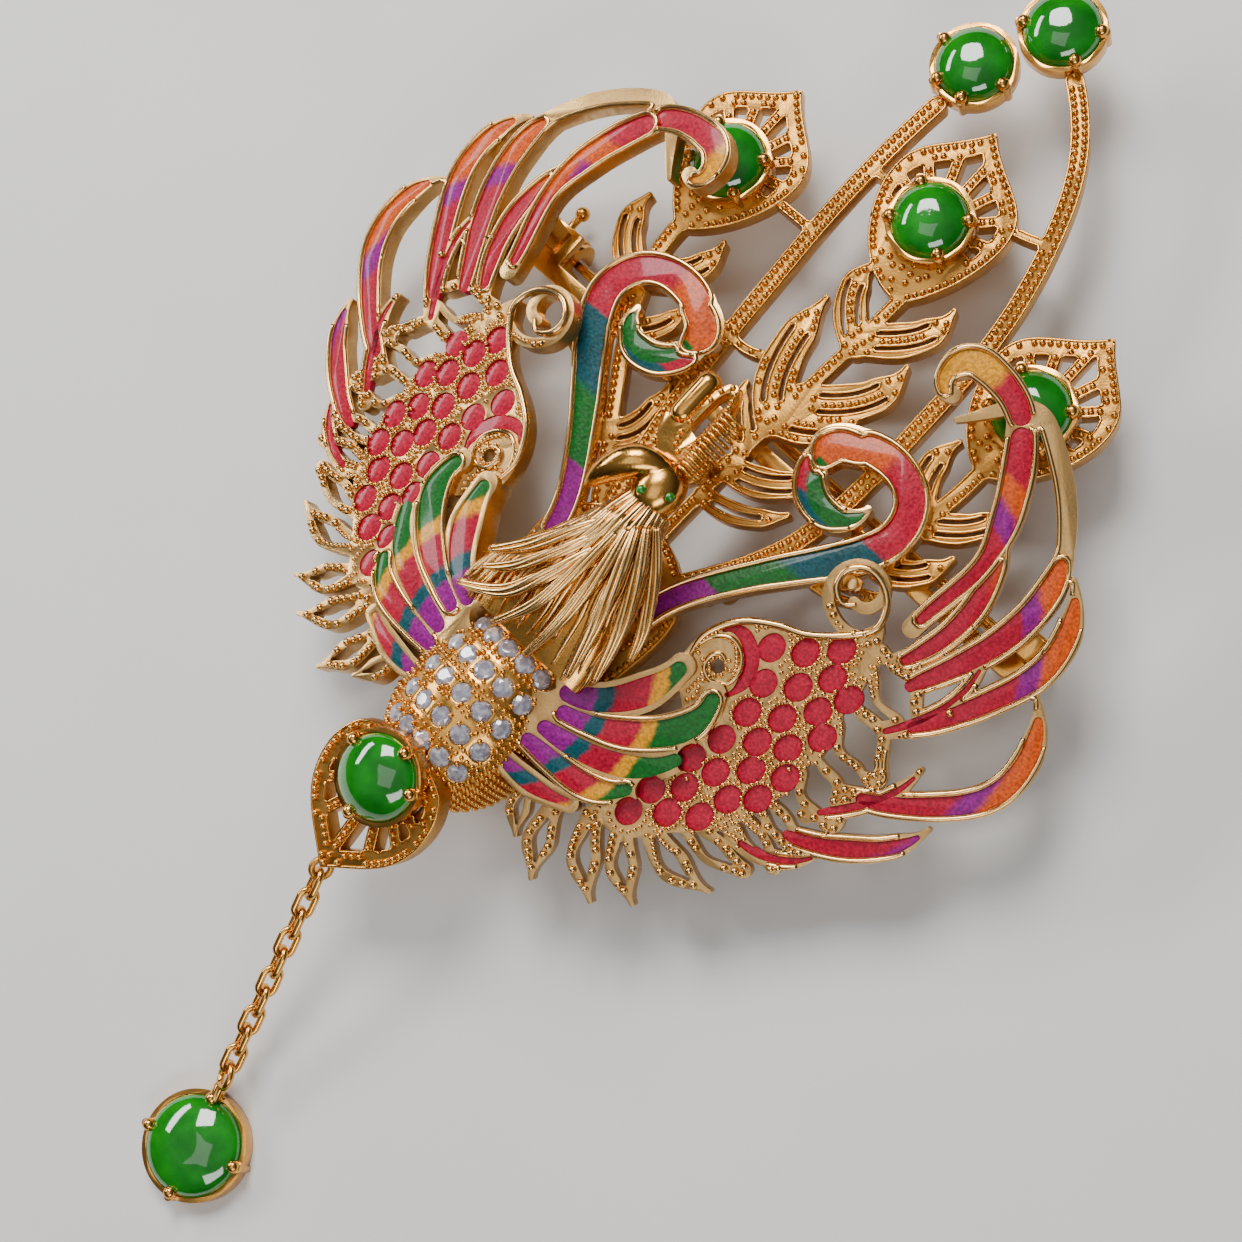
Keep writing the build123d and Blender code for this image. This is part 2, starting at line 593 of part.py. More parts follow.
def body_solid():
    """The barrel body, round about an axis along Y, resting on the table."""
    top = BARREL_RINGS[-1][0]
    foot = BARREL_RINGS[0][0]
    profile = make_face([
        Spline(*BARREL_RINGS),
        Line((top, BODY_Y1), (0, BODY_Y1)),
        Line((0, BODY_Y1), (0, BODY_Y0)),
        Line((0, BODY_Y0), (foot, BODY_Y0)),
    ])
    solid = revolve(profile, axis=Axis.Y, revolution_arc=360)
    return Pos(0, 0, BODY_R) * solid


def stone_places():
    """Where each small stone sits round the barrel: a row of heights and a turn."""
    places = []
    for row in range(STONE_ROWS):
        y = STONE_TOP_Y - row * STONE_PITCH_Y
        for column in range(STONE_COLUMNS):
            turn = (column - (STONE_COLUMNS - 1) / 2) * STONE_TURN
            places.append((y, turn))
    return places


def barrel_radius(y):
    """Radius of the barrel at a height, from straight runs between its rings."""
    for (r0, y0), (r1, y1) in zip(BARREL_RINGS, BARREL_RINGS[1:]):
        if y0 <= y <= y1:
            return r0 + (r1 - r0) * (y - y0) / (y1 - y0)
    return BARREL_RINGS[0][0]


def stone_solid():
    """A small brilliant: crown, girdle and pavilion, with its table outwards."""
    r = STONE_R
    profile = make_face([
        Line((0, -0.85), (r, -0.15)),
        Line((r, -0.15), (r, 0.0)),
        Line((r, 0.0), (r * 0.58, 0.3)),
        Line((r * 0.58, 0.3), (0, 0.3)),
        Line((0, 0.3), (0, -0.85)),
    ])
    placed = Plane.XZ * profile
    return revolve(placed, axis=Axis.Z, revolution_arc=360)


def stone_seat():
    """The pocket that takes one stone, open outwards."""
    return stone_solid() + Pos(0, 0, 0.7) * Cylinder(STONE_R, 1.4)


def stone_location(y, turn):
    r = barrel_radius(y) - 0.05
    slope = (barrel_radius(y + 0.4) - barrel_radius(y - 0.4)) / 0.8
    lean = math.degrees(math.atan(slope))
    return Pos(0, y, BODY_R) * Rot(0, turn, 0) * Pos(0, 0, r) * Rot(lean, 0, 0)


def stone_guards():
    """Clear space over the outer columns of stones, kept free of the wings."""
    guard = Cylinder(STONE_R + 0.04, 2.0)
    edge = STONE_TURN * (STONE_COLUMNS - 1) / 2 - 1
    return [stone_location(y, turn) * guard for y, turn in stone_places() if abs(turn) > edge]


def body_metal():
    solid = body_solid()
    seat = stone_seat()
    for y, turn in stone_places():
        solid = solid - stone_location(y, turn) * seat
    return solid


def pave_stones():
    one = stone_solid()
    return [stone_location(y, turn) * one for y, turn in stone_places()]


# ---------------------------------------------------------------- neck, head and crest
NECK_RINGS = [
    (8.2, 1.0, 1.5, 1.35, 10.4),
    (6.0, 1.0, 2.1, 1.9, 10.2),
    (3.0, 0.8, 3.4, 2.3, 9.6),
    (0.0, 0.3, 4.7, 2.2, 9.0),
    (-3.0, 0.0, 5.0, 1.4, 8.7),
]


def neck_solid():
    """The ruff of the neck: oval rings from the head down to a broad skirt over the body."""
    rings = []
    for y, x, wide, high, z in NECK_RINGS:
        rings.append(Plane(origin=(x, y, z), x_dir=(1, 0, 0), z_dir=(0, 1, 0)) * Ellipse(wide, high))
    skin = loft([ring.face() for ring in rings])
    foot = Pos(0.2, 1.0, TAIL_TOP + 1.6) * Cylinder(2.2, 3.2)
    return skin + foot


def neck():
    return biggest(neck_solid() - body_solid())


def head_solid():
    skull = Pos(0.9, 9.1, 10.9) * scale(Sphere(1), by=(1.6, 1.9, 1.45))
    beak_path = Spline((0.5, 10.2, 11.3), (-0.9, 9.6, 11.8), (-2.0, 8.2, 11.6), (-2.7, 6.3, 10.9))
    sections = []
    for t, r in ((0.0, 0.7), (0.35, 1.05), (0.7, 0.8), (1.0, 0.12)):
        at = beak_path @ t
        sections.append(Plane(origin=at, z_dir=beak_path % t) * Circle(r))
    beak = loft([one.face() for one in sections])
    return skull + beak


def eye_solids():
    """Two small green eyes, one on each side of the skull."""
    found = []
    for x, y, z in ((0.55, 8.4, 12.2), (2.05, 9.2, 11.85)):
        found.append(Pos(x, y, z) * Sphere(0.3))
    return found


def head():
    shape = head_solid() - neck_solid()
    for eye in eye_solids():
        shape = shape - eye
    return biggest(shape)


def crest():
    """The crest: a polished capsule, a tall beaded loop and a ribbed barrel on one foot."""
    tall = Plane(origin=(0.15, 10.4, 10.9), z_dir=(0, 1, 0.08))
    loop_face = Pos(0.15, 14.0) * (Ellipse(0.95, 2.7) - Ellipse(0.45, 2.1))
    rim = slab(loop_face, 9.9, 11.1)
    barrel = tall * Pos(1.35, 0, 2.5) * Cylinder(0.85, 4.6)
    capsule = Pos(-1.35, 14.6, 10.7) * Rot(90, 0, 0) * Cylinder(CAPSULE_R, 2.2)
    for y in (15.7, 13.5):
        capsule = capsule + Pos(-1.35, y, 10.7) * Sphere(CAPSULE_R)
    foot = slab(patch([(-1.9, 12.9), (-0.4, 13.0), (1.0, 12.6), (2.3, 11.4), (1.6, 10.2), (-0.3, 10.6),
                       (-1.6, 11.6)]), 9.9, 11.0)
    whole = rim + barrel + capsule + foot
    leg = Pos(0.4, 12.4, (TAIL_TOP + 10.2) / 2) * Cylinder(0.6, 10.2 - TAIL_TOP)
    whole = whole + leg
    return biggest(whole - head_solid() - neck_solid())


# ---------------------------------------------------------------- cabochons and settings
def cabochon_solid(r):
    profile = make_face([
        Line((0, 0), (r, 0)),
        Line((r, 0), (r, CAB_GIRDLE)),
        Spline((r, CAB_GIRDLE), (r * 0.82, CAB_RISE * 0.68), (r * 0.45, CAB_RISE * 0.94),
               (0, CAB_RISE), tangents=[(0, 1), (-1, 0)]),
        Line((0, CAB_RISE), (0, 0)),
    ])
    return revolve(Plane.XZ * profile, axis=Axis.Z, revolution_arc=360)


def setting_solid(r, turns, hole=0.0):
    """A bezel cup with ball-ended claws; hole opens the seat under a translucent stone."""
    cup = Pos(0, 0, (BEZEL_HIGH - SEAT) / 2) * Cylinder(r + BEZEL, BEZEL_HIGH + SEAT)
    stone = cabochon_solid(r)
    cup = cup - Pos(0, 0, 2.0) * Cylinder(r, 4.0)
    if hole:
        cup = cup - Cylinder(hole, 4.0)
    for turn in turns:
        claw = Pos(r + BEZEL * 0.6, 0, (CAB_GIRDLE + 0.7 - SEAT) / 2)
        claw = claw * Cylinder(CLAW_R, CAB_GIRDLE + 0.7 + SEAT)
        ball = Pos(r * 0.98, 0, CAB_GIRDLE + 0.72) * Sphere(CLAW_BALL_R)
        cup = cup + Rot(0, 0, turn) * (claw + ball)
    return biggest(cup - stone)


# ---------------------------------------------------------------- lower feather
def low_location():
    return Pos(LOW_X, LOW_Y, LOW_Z) * Rot(LOW_TILT, 0, 0)


def low_feather_flat():
    sides = [
        [(0.0, -LOW_TIP), (1.9, -5.8), (3.6, -4.0), (4.4, -1.4), (3.6, 1.4)],
        [(3.6, 1.4), (1.9, 2.2), (0.0, 2.4), (-1.9, 2.2), (-3.6, 1.4)],
        [(-3.6, 1.4), (-4.4, -1.4), (-3.6, -4.0), (-1.9, -5.8), (0.0, -LOW_TIP)],
    ]
    outline = corner_patch(sides)
    inner = corner_patch(shrunk(sides, (0, -1.2), 0.78))
    opening = inner - disc(0, 0, LOW_CAB_R + 0.3)
    spokes = []
    for turn in (200, 222, 246, 270, 294, 318, 340):
        way = math.radians(turn)
        far = (9 * math.cos(way), 9 * math.sin(way))
        spokes.append(strip([(0, 0), (far[0] / 2, far[1] / 2), far], [0.36]))
    above = Pos(0, 10.4) * Rectangle(30, 20)
    opening = opening - joined(spokes) - above
    return outline - opening


def low_feather():
    plate = low_location() * slab(low_feather_flat(), -LOW_THICK, 0)
    return biggest((plate + tip_ring()) - body_solid())


# ---------------------------------------------------------------- chain and drop
def chain_start():
    """Where the chain leaves the lower feather."""
    point = low_location() * Pos(0, -LOW_TIP - CHAIN_OFF, -LOW_THICK / 2)
    return point.position


def chain_way():
    """Unit direction of the chain, from its ring to the drop's bail."""
    start = chain_start()
    return (Vector(*BAIL_AT) - start).normalized()


def chain_frames(index):
    """Directions of one link: along the chain and across it, quarter turned every link."""
    along = chain_way()
    level = Vector(0, 0, 1).cross(along).normalized()
    up = along.cross(level).normalized()
    lean = math.radians(45 if index % 2 == 0 else -45)
    across = level * math.cos(lean) + up * math.sin(lean)
    return along, across


def link_solid(centre, along, across, length, width, wire):
    """An oval wire ring: two straight sides and two round ends."""
    turn = width / 2 - wire
    straight = length - width
    flat = Plane(origin=centre, x_dir=along, z_dir=along.cross(across))
    if straight > 0.01:
        outline = SlotCenterToCenter(straight, 2 * turn)
    else:
        outline = Circle(turn)
    wire_path = flat * outline.wire()
    start = wire_path.position_at(0)
    way = wire_path.tangent_at(0)
    section = Plane(origin=start, z_dir=way) * Circle(wire)
    return sweep(section, path=wire_path)


def ring_centre():
    return chain_start() - chain_way() * (TIP_RING_IN)


def tip_ring():
    """The ring on the lower feather's tip that the first link hangs in."""
    along, across = chain_frames(1)
    return link_solid(ring_centre(), along, across, 2 * TIP_RING_R, 2 * TIP_RING_R, LINK_WIRE_R)


def ring_end():
    """Wire axis at the far side of the tip ring."""
    return ring_centre() + chain_way() * (TIP_RING_R - LINK_WIRE_R)


def link_pivot(index):
    return ring_end() + chain_way() * (LINK_PITCH * index)


def chain_link(index):
    """Link number index, from 0: its near end hangs in the piece before it."""
    along, across = chain_frames(index)
    back = 2 * LINK_WIRE_R + LINK_RUN
    centre = link_pivot(index) - along * back + along * LINK_CENTRE
    return link_solid(centre, along, across, LINK_LENGTH, LINK_WIDTH, LINK_WIRE_R)


def drop_setting():
    """The drop's cup, with a round bail whose wire passes through the last link."""
    along, across = chain_frames(LINK_COUNT)
    near = link_pivot(LINK_COUNT) - along * (LINK_WIRE_R + BAIL_WIRE_R + LINK_RUN)
    centre = near + along * BAIL_R
    bail = link_solid(centre, along, across, 2 * BAIL_R + 2 * BAIL_WIRE_R,
                      2 * BAIL_R + 2 * BAIL_WIRE_R, BAIL_WIRE_R)
    cup = drop_location() * setting_solid(DROP_CAB_R, (20, 110, 200, 290), hole=1.9)
    end = centre + along * (BAIL_R + 0.2)
    place = drop_location().position
    middle = Vector(place.X, place.Y, DROP_NECK_Z)
    neck_way = (middle - end).normalized()
    rim = middle - neck_way * (DROP_CAB_R + 0.1)
    length = (rim - end).length
    stem = Plane(origin=end - neck_way * 0.25, z_dir=neck_way) * Pos(0, 0, (length + 0.25) / 2)
    stem = stem * Cylinder(0.42, length + 0.25)
    whole = cup + stem + bail
    whole = whole - drop_location() * cabochon_solid(DROP_CAB_R)
    return biggest(whole)


def drop_location():
    """The drop lies flat, just beyond the chain's end."""
    end = link_pivot(LINK_COUNT)
    return Pos(end.X + DROP_OFF[0], end.Y + DROP_OFF[1], SEAT)


# ---------------------------------------------------------------- pin back
def back_bar():
    """The flat strip with a pad and a post at each end that carry the wings."""
    strip_box = Pos(1.4, BAR_Y, BAR_Z0 + BAR_THICK / 2) * Box(38.4, BAR_WIDTH, BAR_THICK)
    left_pad = Pos(CATCH_X, 16.35, BAR_Z0 + BAR_THICK / 2) * Box(2.6, 3.4, BAR_THICK)
    right_pad = Pos(21.5, 16.35, BAR_Z0 + BAR_THICK / 2) * Box(3.2, 3.4, BAR_THICK)
    left_post = Pos(CATCH_X - 0.2, 16.9, 6.4) * Box(1.5, 1.6, 6.0)
    right_post = Pos(22.3, 16.9, 6.4) * Box(1.3, 1.6, 6.0)
    whole = strip_box + left_pad + right_pad
    whole = whole + (left_post - wing_ceiling(-1))
    whole = whole + (right_post - wing_ceiling(1))
    return biggest(whole)


def hinge_bracket():
    """A folded bracket: two rounded ears under a web."""
    ears = []
    for side in (-1, 1):
        y = PIN_Y + side * (EAR_GAP / 2 + EAR_THICK / 2)
        round_end = Pos(HINGE_X, y, PIN_Z) * Rot(90, 0, 0) * Cylinder(EAR_R, EAR_THICK)
        upper = Pos(HINGE_X + 0.1, y, (PIN_Z + BAR_Z0) / 2) * Box(2 * EAR_R, EAR_THICK, BAR_Z0 - PIN_Z)
        ears.append(round_end + upper)
    web_x = (HINGE_WEB_X0 + HINGE_WEB_X1) / 2
    web = Pos(web_x, PIN_Y, BAR_Z0 - WEB_THICK / 2)
    web = web * Box(HINGE_WEB_X1 - HINGE_WEB_X0, EAR_GAP + 2 * EAR_THICK, WEB_THICK)
    hole = Pos(HINGE_X, PIN_Y, PIN_Z) * Rot(90, 0, 0) * Cylinder(RIVET_R, 4)
    return ears[0] + ears[1] + web - hole


def hinge_rivet():
    """The rivet through both ears, with a flat head outside each."""
    reach = EAR_GAP / 2 + EAR_THICK
    shank = Pos(HINGE_X, PIN_Y, PIN_Z) * Rot(90, 0, 0) * Cylinder(RIVET_R, 2 * reach)
    for side in (-1, 1):
        y = PIN_Y + side * (reach + RIVET_HEAD_THICK / 2)
        head_disc = Pos(HINGE_X, y, PIN_Z) * Rot(90, 0, 0) * Cylinder(RIVET_HEAD_R, RIVET_HEAD_THICK)
        shank = shank + head_disc
    return shank


def pin_stem():
    """The round pin: an eye on the rivet, a straight stem and a tapered point."""
    eye = Pos(HINGE_X, PIN_Y, PIN_Z) * Rot(90, 0, 0) * Cylinder(PIN_EYE_R, PIN_EYE_THICK)
    profile = make_face([
        Line((PIN_TIP_X, 0), (PIN_TIP_X, PIN_TIP_R)),
        Line((PIN_TIP_X, PIN_TIP_R), (PIN_TAPER_X, PIN_R)),
        Line((PIN_TAPER_X, PIN_R), (PIN_ROOT_X, PIN_R)),
        Line((PIN_ROOT_X, PIN_R), (HINGE_X, PIN_ROOT_R)),
        Line((HINGE_X, PIN_ROOT_R), (HINGE_X, 0)),
        Line((HINGE_X, 0), (PIN_TIP_X, 0)),
    ])
    stem = Pos(0, PIN_Y, PIN_Z) * revolve(profile, axis=Axis.X, revolution_arc=360)
    bore = Pos(HINGE_X, PIN_Y, PIN_Z) * Rot(90, 0, 0) * Cylinder(RIVET_R + RIVET_RUN, 3)
    return eye + stem - bore


def catch_base():
    """The catch's housing: a round shell with its mouth away from the back."""
    shell = Pos(CATCH_X, PIN_Y, PIN_Z) * Rot(0, 90, 0) * Cylinder(CATCH_OUT_R, CATCH_LENGTH)
    foot = Pos(CATCH_X, PIN_Y, (PIN_Z + BAR_Z0) / 2) * Box(CATCH_LENGTH, 2.2, BAR_Z0 - PIN_Z)
    bore = Pos(CATCH_X, PIN_Y, PIN_Z) * Rot(0, 90, 0) * Cylinder(ROTOR_R + ROTOR_RUN, CATCH_LENGTH + 1)
    mouth = Pos(CATCH_X, PIN_Y, PIN_Z - 1.5) * Box(CATCH_LENGTH + 1, MOUTH, 3.0)
    return shell + foot - bore - mouth


def catch_rotor():
    """The slotted rotor with a flange at each end and a ball lever."""
    core = Pos(CATCH_X, PIN_Y, PIN_Z) * Rot(0, 90, 0)
    body_length = CATCH_LENGTH + 2 * ROTOR_END_GAP
    shape = core * Cylinder(ROTOR_R, body_length)
    for side in (-1, 1):
        x = CATCH_X + side * (body_length / 2 + FLANGE_THICK / 2)
        shape = shape + Pos(x, PIN_Y, PIN_Z) * Rot(0, 90, 0) * Cylinder(FLANGE_R, FLANGE_THICK)
    lever_x = CATCH_X - body_length / 2 - FLANGE_THICK / 2
    arm = Pos(lever_x, PIN_Y + (0.9 + LEVER_LENGTH) / 2, PIN_Z) * Rot(90, 0, 0)
    arm = arm * Cylinder(LEVER_R, LEVER_LENGTH - 0.9)
    ball = Pos(lever_x, PIN_Y + LEVER_LENGTH, PIN_Z) * Sphere(LEVER_BALL_R)
    shape = shape + arm + ball
    long = body_length + 2 * FLANGE_THICK + 2
    seat = Pos(CATCH_X, PIN_Y, PIN_Z) * Rot(0, 90, 0) * Cylinder(ROTOR_SLOT / 2, long)
    slot = Pos(CATCH_X, PIN_Y, PIN_Z - 1.5) * Box(long, ROTOR_SLOT, 3.0)
    return shape - seat - slot


# ---------------------------------------------------------------- build every node
def build_wings():
    for side, name in ((1, "right"), (-1, "left")):
        save(name + "_wing", wing(side))
        save(name + "_primary_enamel", *wing_enamel(primary_enamel_faces(side), 0, side))
        save(name + "_scale_enamel", *wing_enamel(scale_patches() + [spiral_face()], 0, side))
        coverts = wing_enamel(covert_enamel_faces(), COVERT_RISE, side)
        trimmed = [biggest(one - body_solid() - neck_solid()) for one in coverts]
        save(name + "_covert_enamel", *trimmed)
        save(name + "_plume", plume(side))
        save(name + "_plume_enamel", *plume_enamel(side))


def build_tail():
    frame, middle, left, right = tail_slabs()
    save("tail_frame", frame)
    save("middle_tail_feather", middle)
    save("left_tail_feather", left)
    save("right_tail_feather", right)


def build_body():
    save("body", body_metal())
    save("pave_stones", *pave_stones())
    save("neck_ruff", neck())
    save("head", head())
    save("crest", crest())
    save("eye_stones", *eye_solids())


CAB_PLACES = [
    ("middle", 0.35, 32.3, CAB_R, (35, 145, 215, 325)),
    ("left", -12.1, 27.3, CAB_R, (35, 145, 215, 325)),
    ("right", 13.0, 27.4, CAB_R, (35, 145, 215, 325)),
    ("left_stem", -4.6, 41.5, CAB_R, (0, 180, 245, 295)),
    ("right_stem", -1.9, 46.5, CAB_R, (30, 150, 210, 330)),
]


def build_cabochons():
    for name, x, y, r, turns in CAB_PLACES:
        base = TAIL_TOP + SEAT
        if "stem" in name:
            base = TAIL_TOP - 0.2
        place = Pos(x, y, base)
        cup = place * setting_solid(r, turns)
        save(name + "_setting", biggest(cup - slab(tail_frame_flat(), TAIL_Z0, TAIL_TOP)))
        save(name + "_cabochon", place * cabochon_solid(r))
    place = low_location() * Pos(0, 0, SEAT)
    cup = place * setting_solid(LOW_CAB_R, (20, 75, 160, 270)) - body_solid()
    for stone in pave_stones()[-STONE_COLUMNS:]:
        cup = cup - stone
    save("lower_setting", biggest(cup))
    save("lower_cabochon", place * cabochon_solid(LOW_CAB_R))
    save("lower_feather", low_feather())


def build_chain():
    for index in range(LINK_COUNT):
        save("chain_link_" + str(index + 1).zfill(2), chain_link(index))
    save("drop_setting", drop_setting())
    save("drop_cabochon", drop_location() * cabochon_solid(DROP_CAB_R))
    for index in range(LINK_COUNT + 1):
        at = link_pivot(index)
        along, across = chain_frames(index - 1 if index else 1)
        shifted = (at.X + ORIGIN_X, at.Y + ORIGIN_Y, at.Z)
        print("pivot", index, [round(v, 4) for v in shifted], [round(v, 5) for v in across])


def build_pin_back():
    save("back_bar", back_bar())
    save("hinge_bracket", hinge_bracket())
    save("hinge_rivet", hinge_rivet())
    save("pin_stem", pin_stem())
    save("catch_base", catch_base())
    save("catch_rotor", catch_rotor())


build_wings()
build_tail()
build_body()
build_cabochons()
build_chain()
build_pin_back()
print(len(PARTS), "nodes")
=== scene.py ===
"""Looks of a decorative phoenix hair pin: gilt openwork, enamel, cabochons and small stones.

Laid out as an add-on and run as a script. Lengths are metres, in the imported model's own frame:
+Z out of the bird's face, +Y towards the top of its tail, +X across the wings.
"""

import math
import random
from itertools import product

import bmesh
import bpy
from bpy.props import FloatProperty, FloatVectorProperty, IntProperty, PointerProperty
from mathutils import Matrix, Vector
from mathutils.bvhtree import BVHTree
from mathutils.kdtree import KDTree


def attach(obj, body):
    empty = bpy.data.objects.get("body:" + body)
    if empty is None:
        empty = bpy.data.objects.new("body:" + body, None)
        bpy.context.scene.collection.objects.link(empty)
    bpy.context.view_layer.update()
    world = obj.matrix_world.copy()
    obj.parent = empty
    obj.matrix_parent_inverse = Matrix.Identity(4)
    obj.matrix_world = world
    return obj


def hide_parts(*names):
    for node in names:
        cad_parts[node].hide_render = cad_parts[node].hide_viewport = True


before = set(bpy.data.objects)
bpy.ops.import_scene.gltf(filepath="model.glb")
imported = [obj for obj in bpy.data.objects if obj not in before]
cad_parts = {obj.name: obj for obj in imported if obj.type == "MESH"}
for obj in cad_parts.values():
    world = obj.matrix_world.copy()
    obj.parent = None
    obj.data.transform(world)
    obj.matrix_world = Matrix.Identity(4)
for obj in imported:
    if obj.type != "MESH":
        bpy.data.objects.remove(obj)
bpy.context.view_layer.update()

bl_info = {
    "name": "Phoenix hair pin",
    "version": (1, 0, 0),
    "blender": (4, 5, 0),
    "location": "3D View > Sidebar > Hair pin",
    "description": "Builds the finish of a gilt and enamelled phoenix hair pin round its packed model",
    "category": "Object",
}

MM = 0.001
BIRD_UP = 2.8              # mm from the frame's origin up to the bird's own zero height
WING_HIGH = 8.66           # mm, height of the wing's face at that point
WING_LEAN = (8.42, 7.07)   # degrees, how far a wing falls to its tip and rises to its top
COVERT_RISE = 0.7          # mm that covert feathers stand above the wing's face
TAIL_HIGH = 5.3            # mm, top of the tail fan
PLUME_HIGH = 6.5           # mm, top of the plumes
PLUME_HOLE = (8.1, 17.2)   # mm, middle of a plume's curled head in the bird's own frame
BEAD_RISE = 0.3            # a bead's centre above the metal, as a share of its radius
SIDES = ("left", "right")
CABOCHONS = ("middle", "left", "right", "left_stem", "right_stem", "lower", "drop")


# ---------------------------------------------------------------- settings
def length(name, text, value):
    return FloatProperty(name=name, description=text, default=value, subtype="DISTANCE", unit="LENGTH",
                         precision=5, min=0.0)


def colour(name, text, value):
    return FloatVectorProperty(name=name, description=text, default=value, subtype="COLOR", size=3,
                               min=0.0, max=1.0)


class PinStageSettings(bpy.types.PropertyGroup):
    """Camera, light and floor."""

    eye: FloatVectorProperty(
        name="Eye", description="Where the camera stands", default=(0.05005, 0.00132, 0.14733),
        subtype="TRANSLATION", unit="LENGTH")
    right_way: FloatVectorProperty(
        name="Right", description="Direction of the picture's right side",
        default=(0.69430, 0.67794, -0.24154), subtype="DIRECTION")
    down_way: FloatVectorProperty(
        name="Down", description="Direction of the picture's bottom",
        default=(0.64681, -0.73496, -0.20363), subtype="DIRECTION")
    lens: FloatProperty(name="Lens", description="Focal length in mm", default=71.61, min=10.0)
    floor_colour: colour("Floor", "Colour of the floor", (0.80, 0.79, 0.77))
    light_power: FloatProperty(
        name="Light", description="Strength of the soft boxes", default=1.0, min=0.0)


class PinFinishSettings(bpy.types.PropertyGroup):
    """Colours of metal, enamel and stones."""

    gold: colour("Gold", "Deep yellow gilding of tail, body and pin back", (0.85, 0.44, 0.10))
    pale_gold: colour("Pale gold", "Lighter gilding of wings and plumes", (0.92, 0.58, 0.22))
    dark_gold: colour("Toned gold", "Darker tone in the hollows", (0.36, 0.13, 0.02))
    crimson: colour("Crimson", "Red enamel", (0.52, 0.001, 0.032))
    magenta: colour("Magenta", "Purple enamel", (0.30, 0.001, 0.24))
    orange: colour("Orange", "Orange enamel", (0.80, 0.10, 0.001))
    yellow: colour("Yellow", "Yellow enamel", (0.95, 0.40, 0.004))
    green: colour("Green", "Green enamel", (0.002, 0.15, 0.012))
    teal: colour("Teal", "Blue-green enamel", (0.002, 0.09, 0.115))
    glass: colour("Cabochon", "Green of the round stones", (0.005, 0.22, 0.008))


class PinDetailSettings(bpy.types.PropertyGroup):
    """Sizes of the fine work."""

    edge: length("Edge", "Width of the soft edge on cast metal", 0.00006)
    bead: length("Bead", "Radius of a tail bead", 0.00022)
    bead_pitch: length("Bead pitch", "Distance between tail beads", 0.00050)
    fine_bead: length("Fine bead", "Radius of a wing bead", 0.00016)
    fine_pitch: length("Fine pitch", "Distance between wing beads", 0.00030)
    strands: IntProperty(name="Strands", description="Engraved strands in the ruff", default=34, min=6)


SETTINGS = {"pin_stage": PinStageSettings, "pin_finish": PinFinishSettings, "pin_detail": PinDetailSettings}


# ---------------------------------------------------------------- shader maths
class Field:
    """One socket of a material, with arithmetic that adds Math nodes."""

    def __init__(self, tree, socket=None):
        self.tree = tree
        self.socket = socket

    def node(self, kind, settings=None, inputs=None, output=0):
        """Adds any node: its settings first, then the values or links of its sockets."""
        made = self.tree.nodes.new("ShaderNode" + kind)
        for name, value in (settings or {}).items():
            if name == "stops":
                set_stops(made.color_ramp, value)
            else:
                setattr(made, name, value)
        for name, value in (inputs or {}).items():
            if isinstance(value, Field):
                self.tree.links.new(value.socket, made.inputs[name])
            else:
                made.inputs[name].default_value = value
        return Field(self.tree, made.outputs[output])

    def math(self, operation, first, second=0.0, third=0.0):
        return self.node("Math", {"operation": operation}, {0: first, 1: second, 2: third})

    def __add__(self, other):
        return self.math("ADD", self, other)

    __radd__ = __add__

    def __mul__(self, other):
        return self.math("MULTIPLY", self, other)

    __rmul__ = __mul__

    def __sub__(self, other):
        return self.math("SUBTRACT", self, other)

    def __rsub__(self, other):
        return self.math("SUBTRACT", other, self)

    def __truediv__(self, other):
        return self.math("DIVIDE", self, other)

    def __pow__(self, other):
        return self.math("POWER", self, other)

    def root(self):
        return self.math("SQRT", self)

    def step(self, low, high):
        """Rises smoothly from 0 to 1 between two values."""
        return self.node("MapRange", {"interpolation_type": "SMOOTHSTEP"},
                         {"Value": self, "From Min": low, "From Max": high})

    def ramp(self, stops, interpolation="LINEAR"):
        made = self.node("ValToRGB", {"stops": stops}, {0: self})
        made.socket.node.color_ramp.interpolation = interpolation
        return made

    def mix(self, first, second):
        """A colour between two, by this factor."""
        return self.node("Mix", {"data_type": "RGBA"},
                         {0: self, 6: rgba(first), 7: rgba(second)}, output=2)


def rgba(value):
    """A colour as a socket takes it: a field as it is, or plain values with full alpha."""
    return value if isinstance(value, Field) else (*value[:3], 1.0)


def set_stops(ramp, stops):
    while len(ramp.elements) < len(stops):
        ramp.elements.new(1.0)
    for element, (place, shade) in zip(ramp.elements, stops):
        element.position = place
        element.color = (*shade[:3], 1.0)


def new_material(name, **constants):
    """A Principled material with its constant sockets set; returns it, its field and its shader."""
    made = bpy.data.materials.new(name)
    made.use_nodes = True
    shader = made.node_tree.nodes["Principled BSDF"]
    for socket, value in constants.items():
        shader.inputs[socket.replace("_", " ")].default_value = value
    return made, Field(made.node_tree), shader


def plug(made, shader, **links):
    """Links fields to a shader's sockets, named with _ for a space."""
    for socket, value in links.items():
        made.node_tree.links.new(value.socket, shader.inputs[socket.replace("_", " ")])


def place_axes(field):
    """The three object coordinates, in millimetres."""
    spot = field.node("TexCoord", output=3)
    big = field.node("VectorMath", {"operation": "SCALE"}, {0: spot, "Scale": 1000.0})
    parts = [field.node("SeparateXYZ", None, {0: big}, output=n) for n in range(3)]
    return big, parts


def noise(field, spot, scale, detail=2.0):
    return field.node("TexNoise", None, {"Vector": spot, "Scale": scale, "Detail": detail})


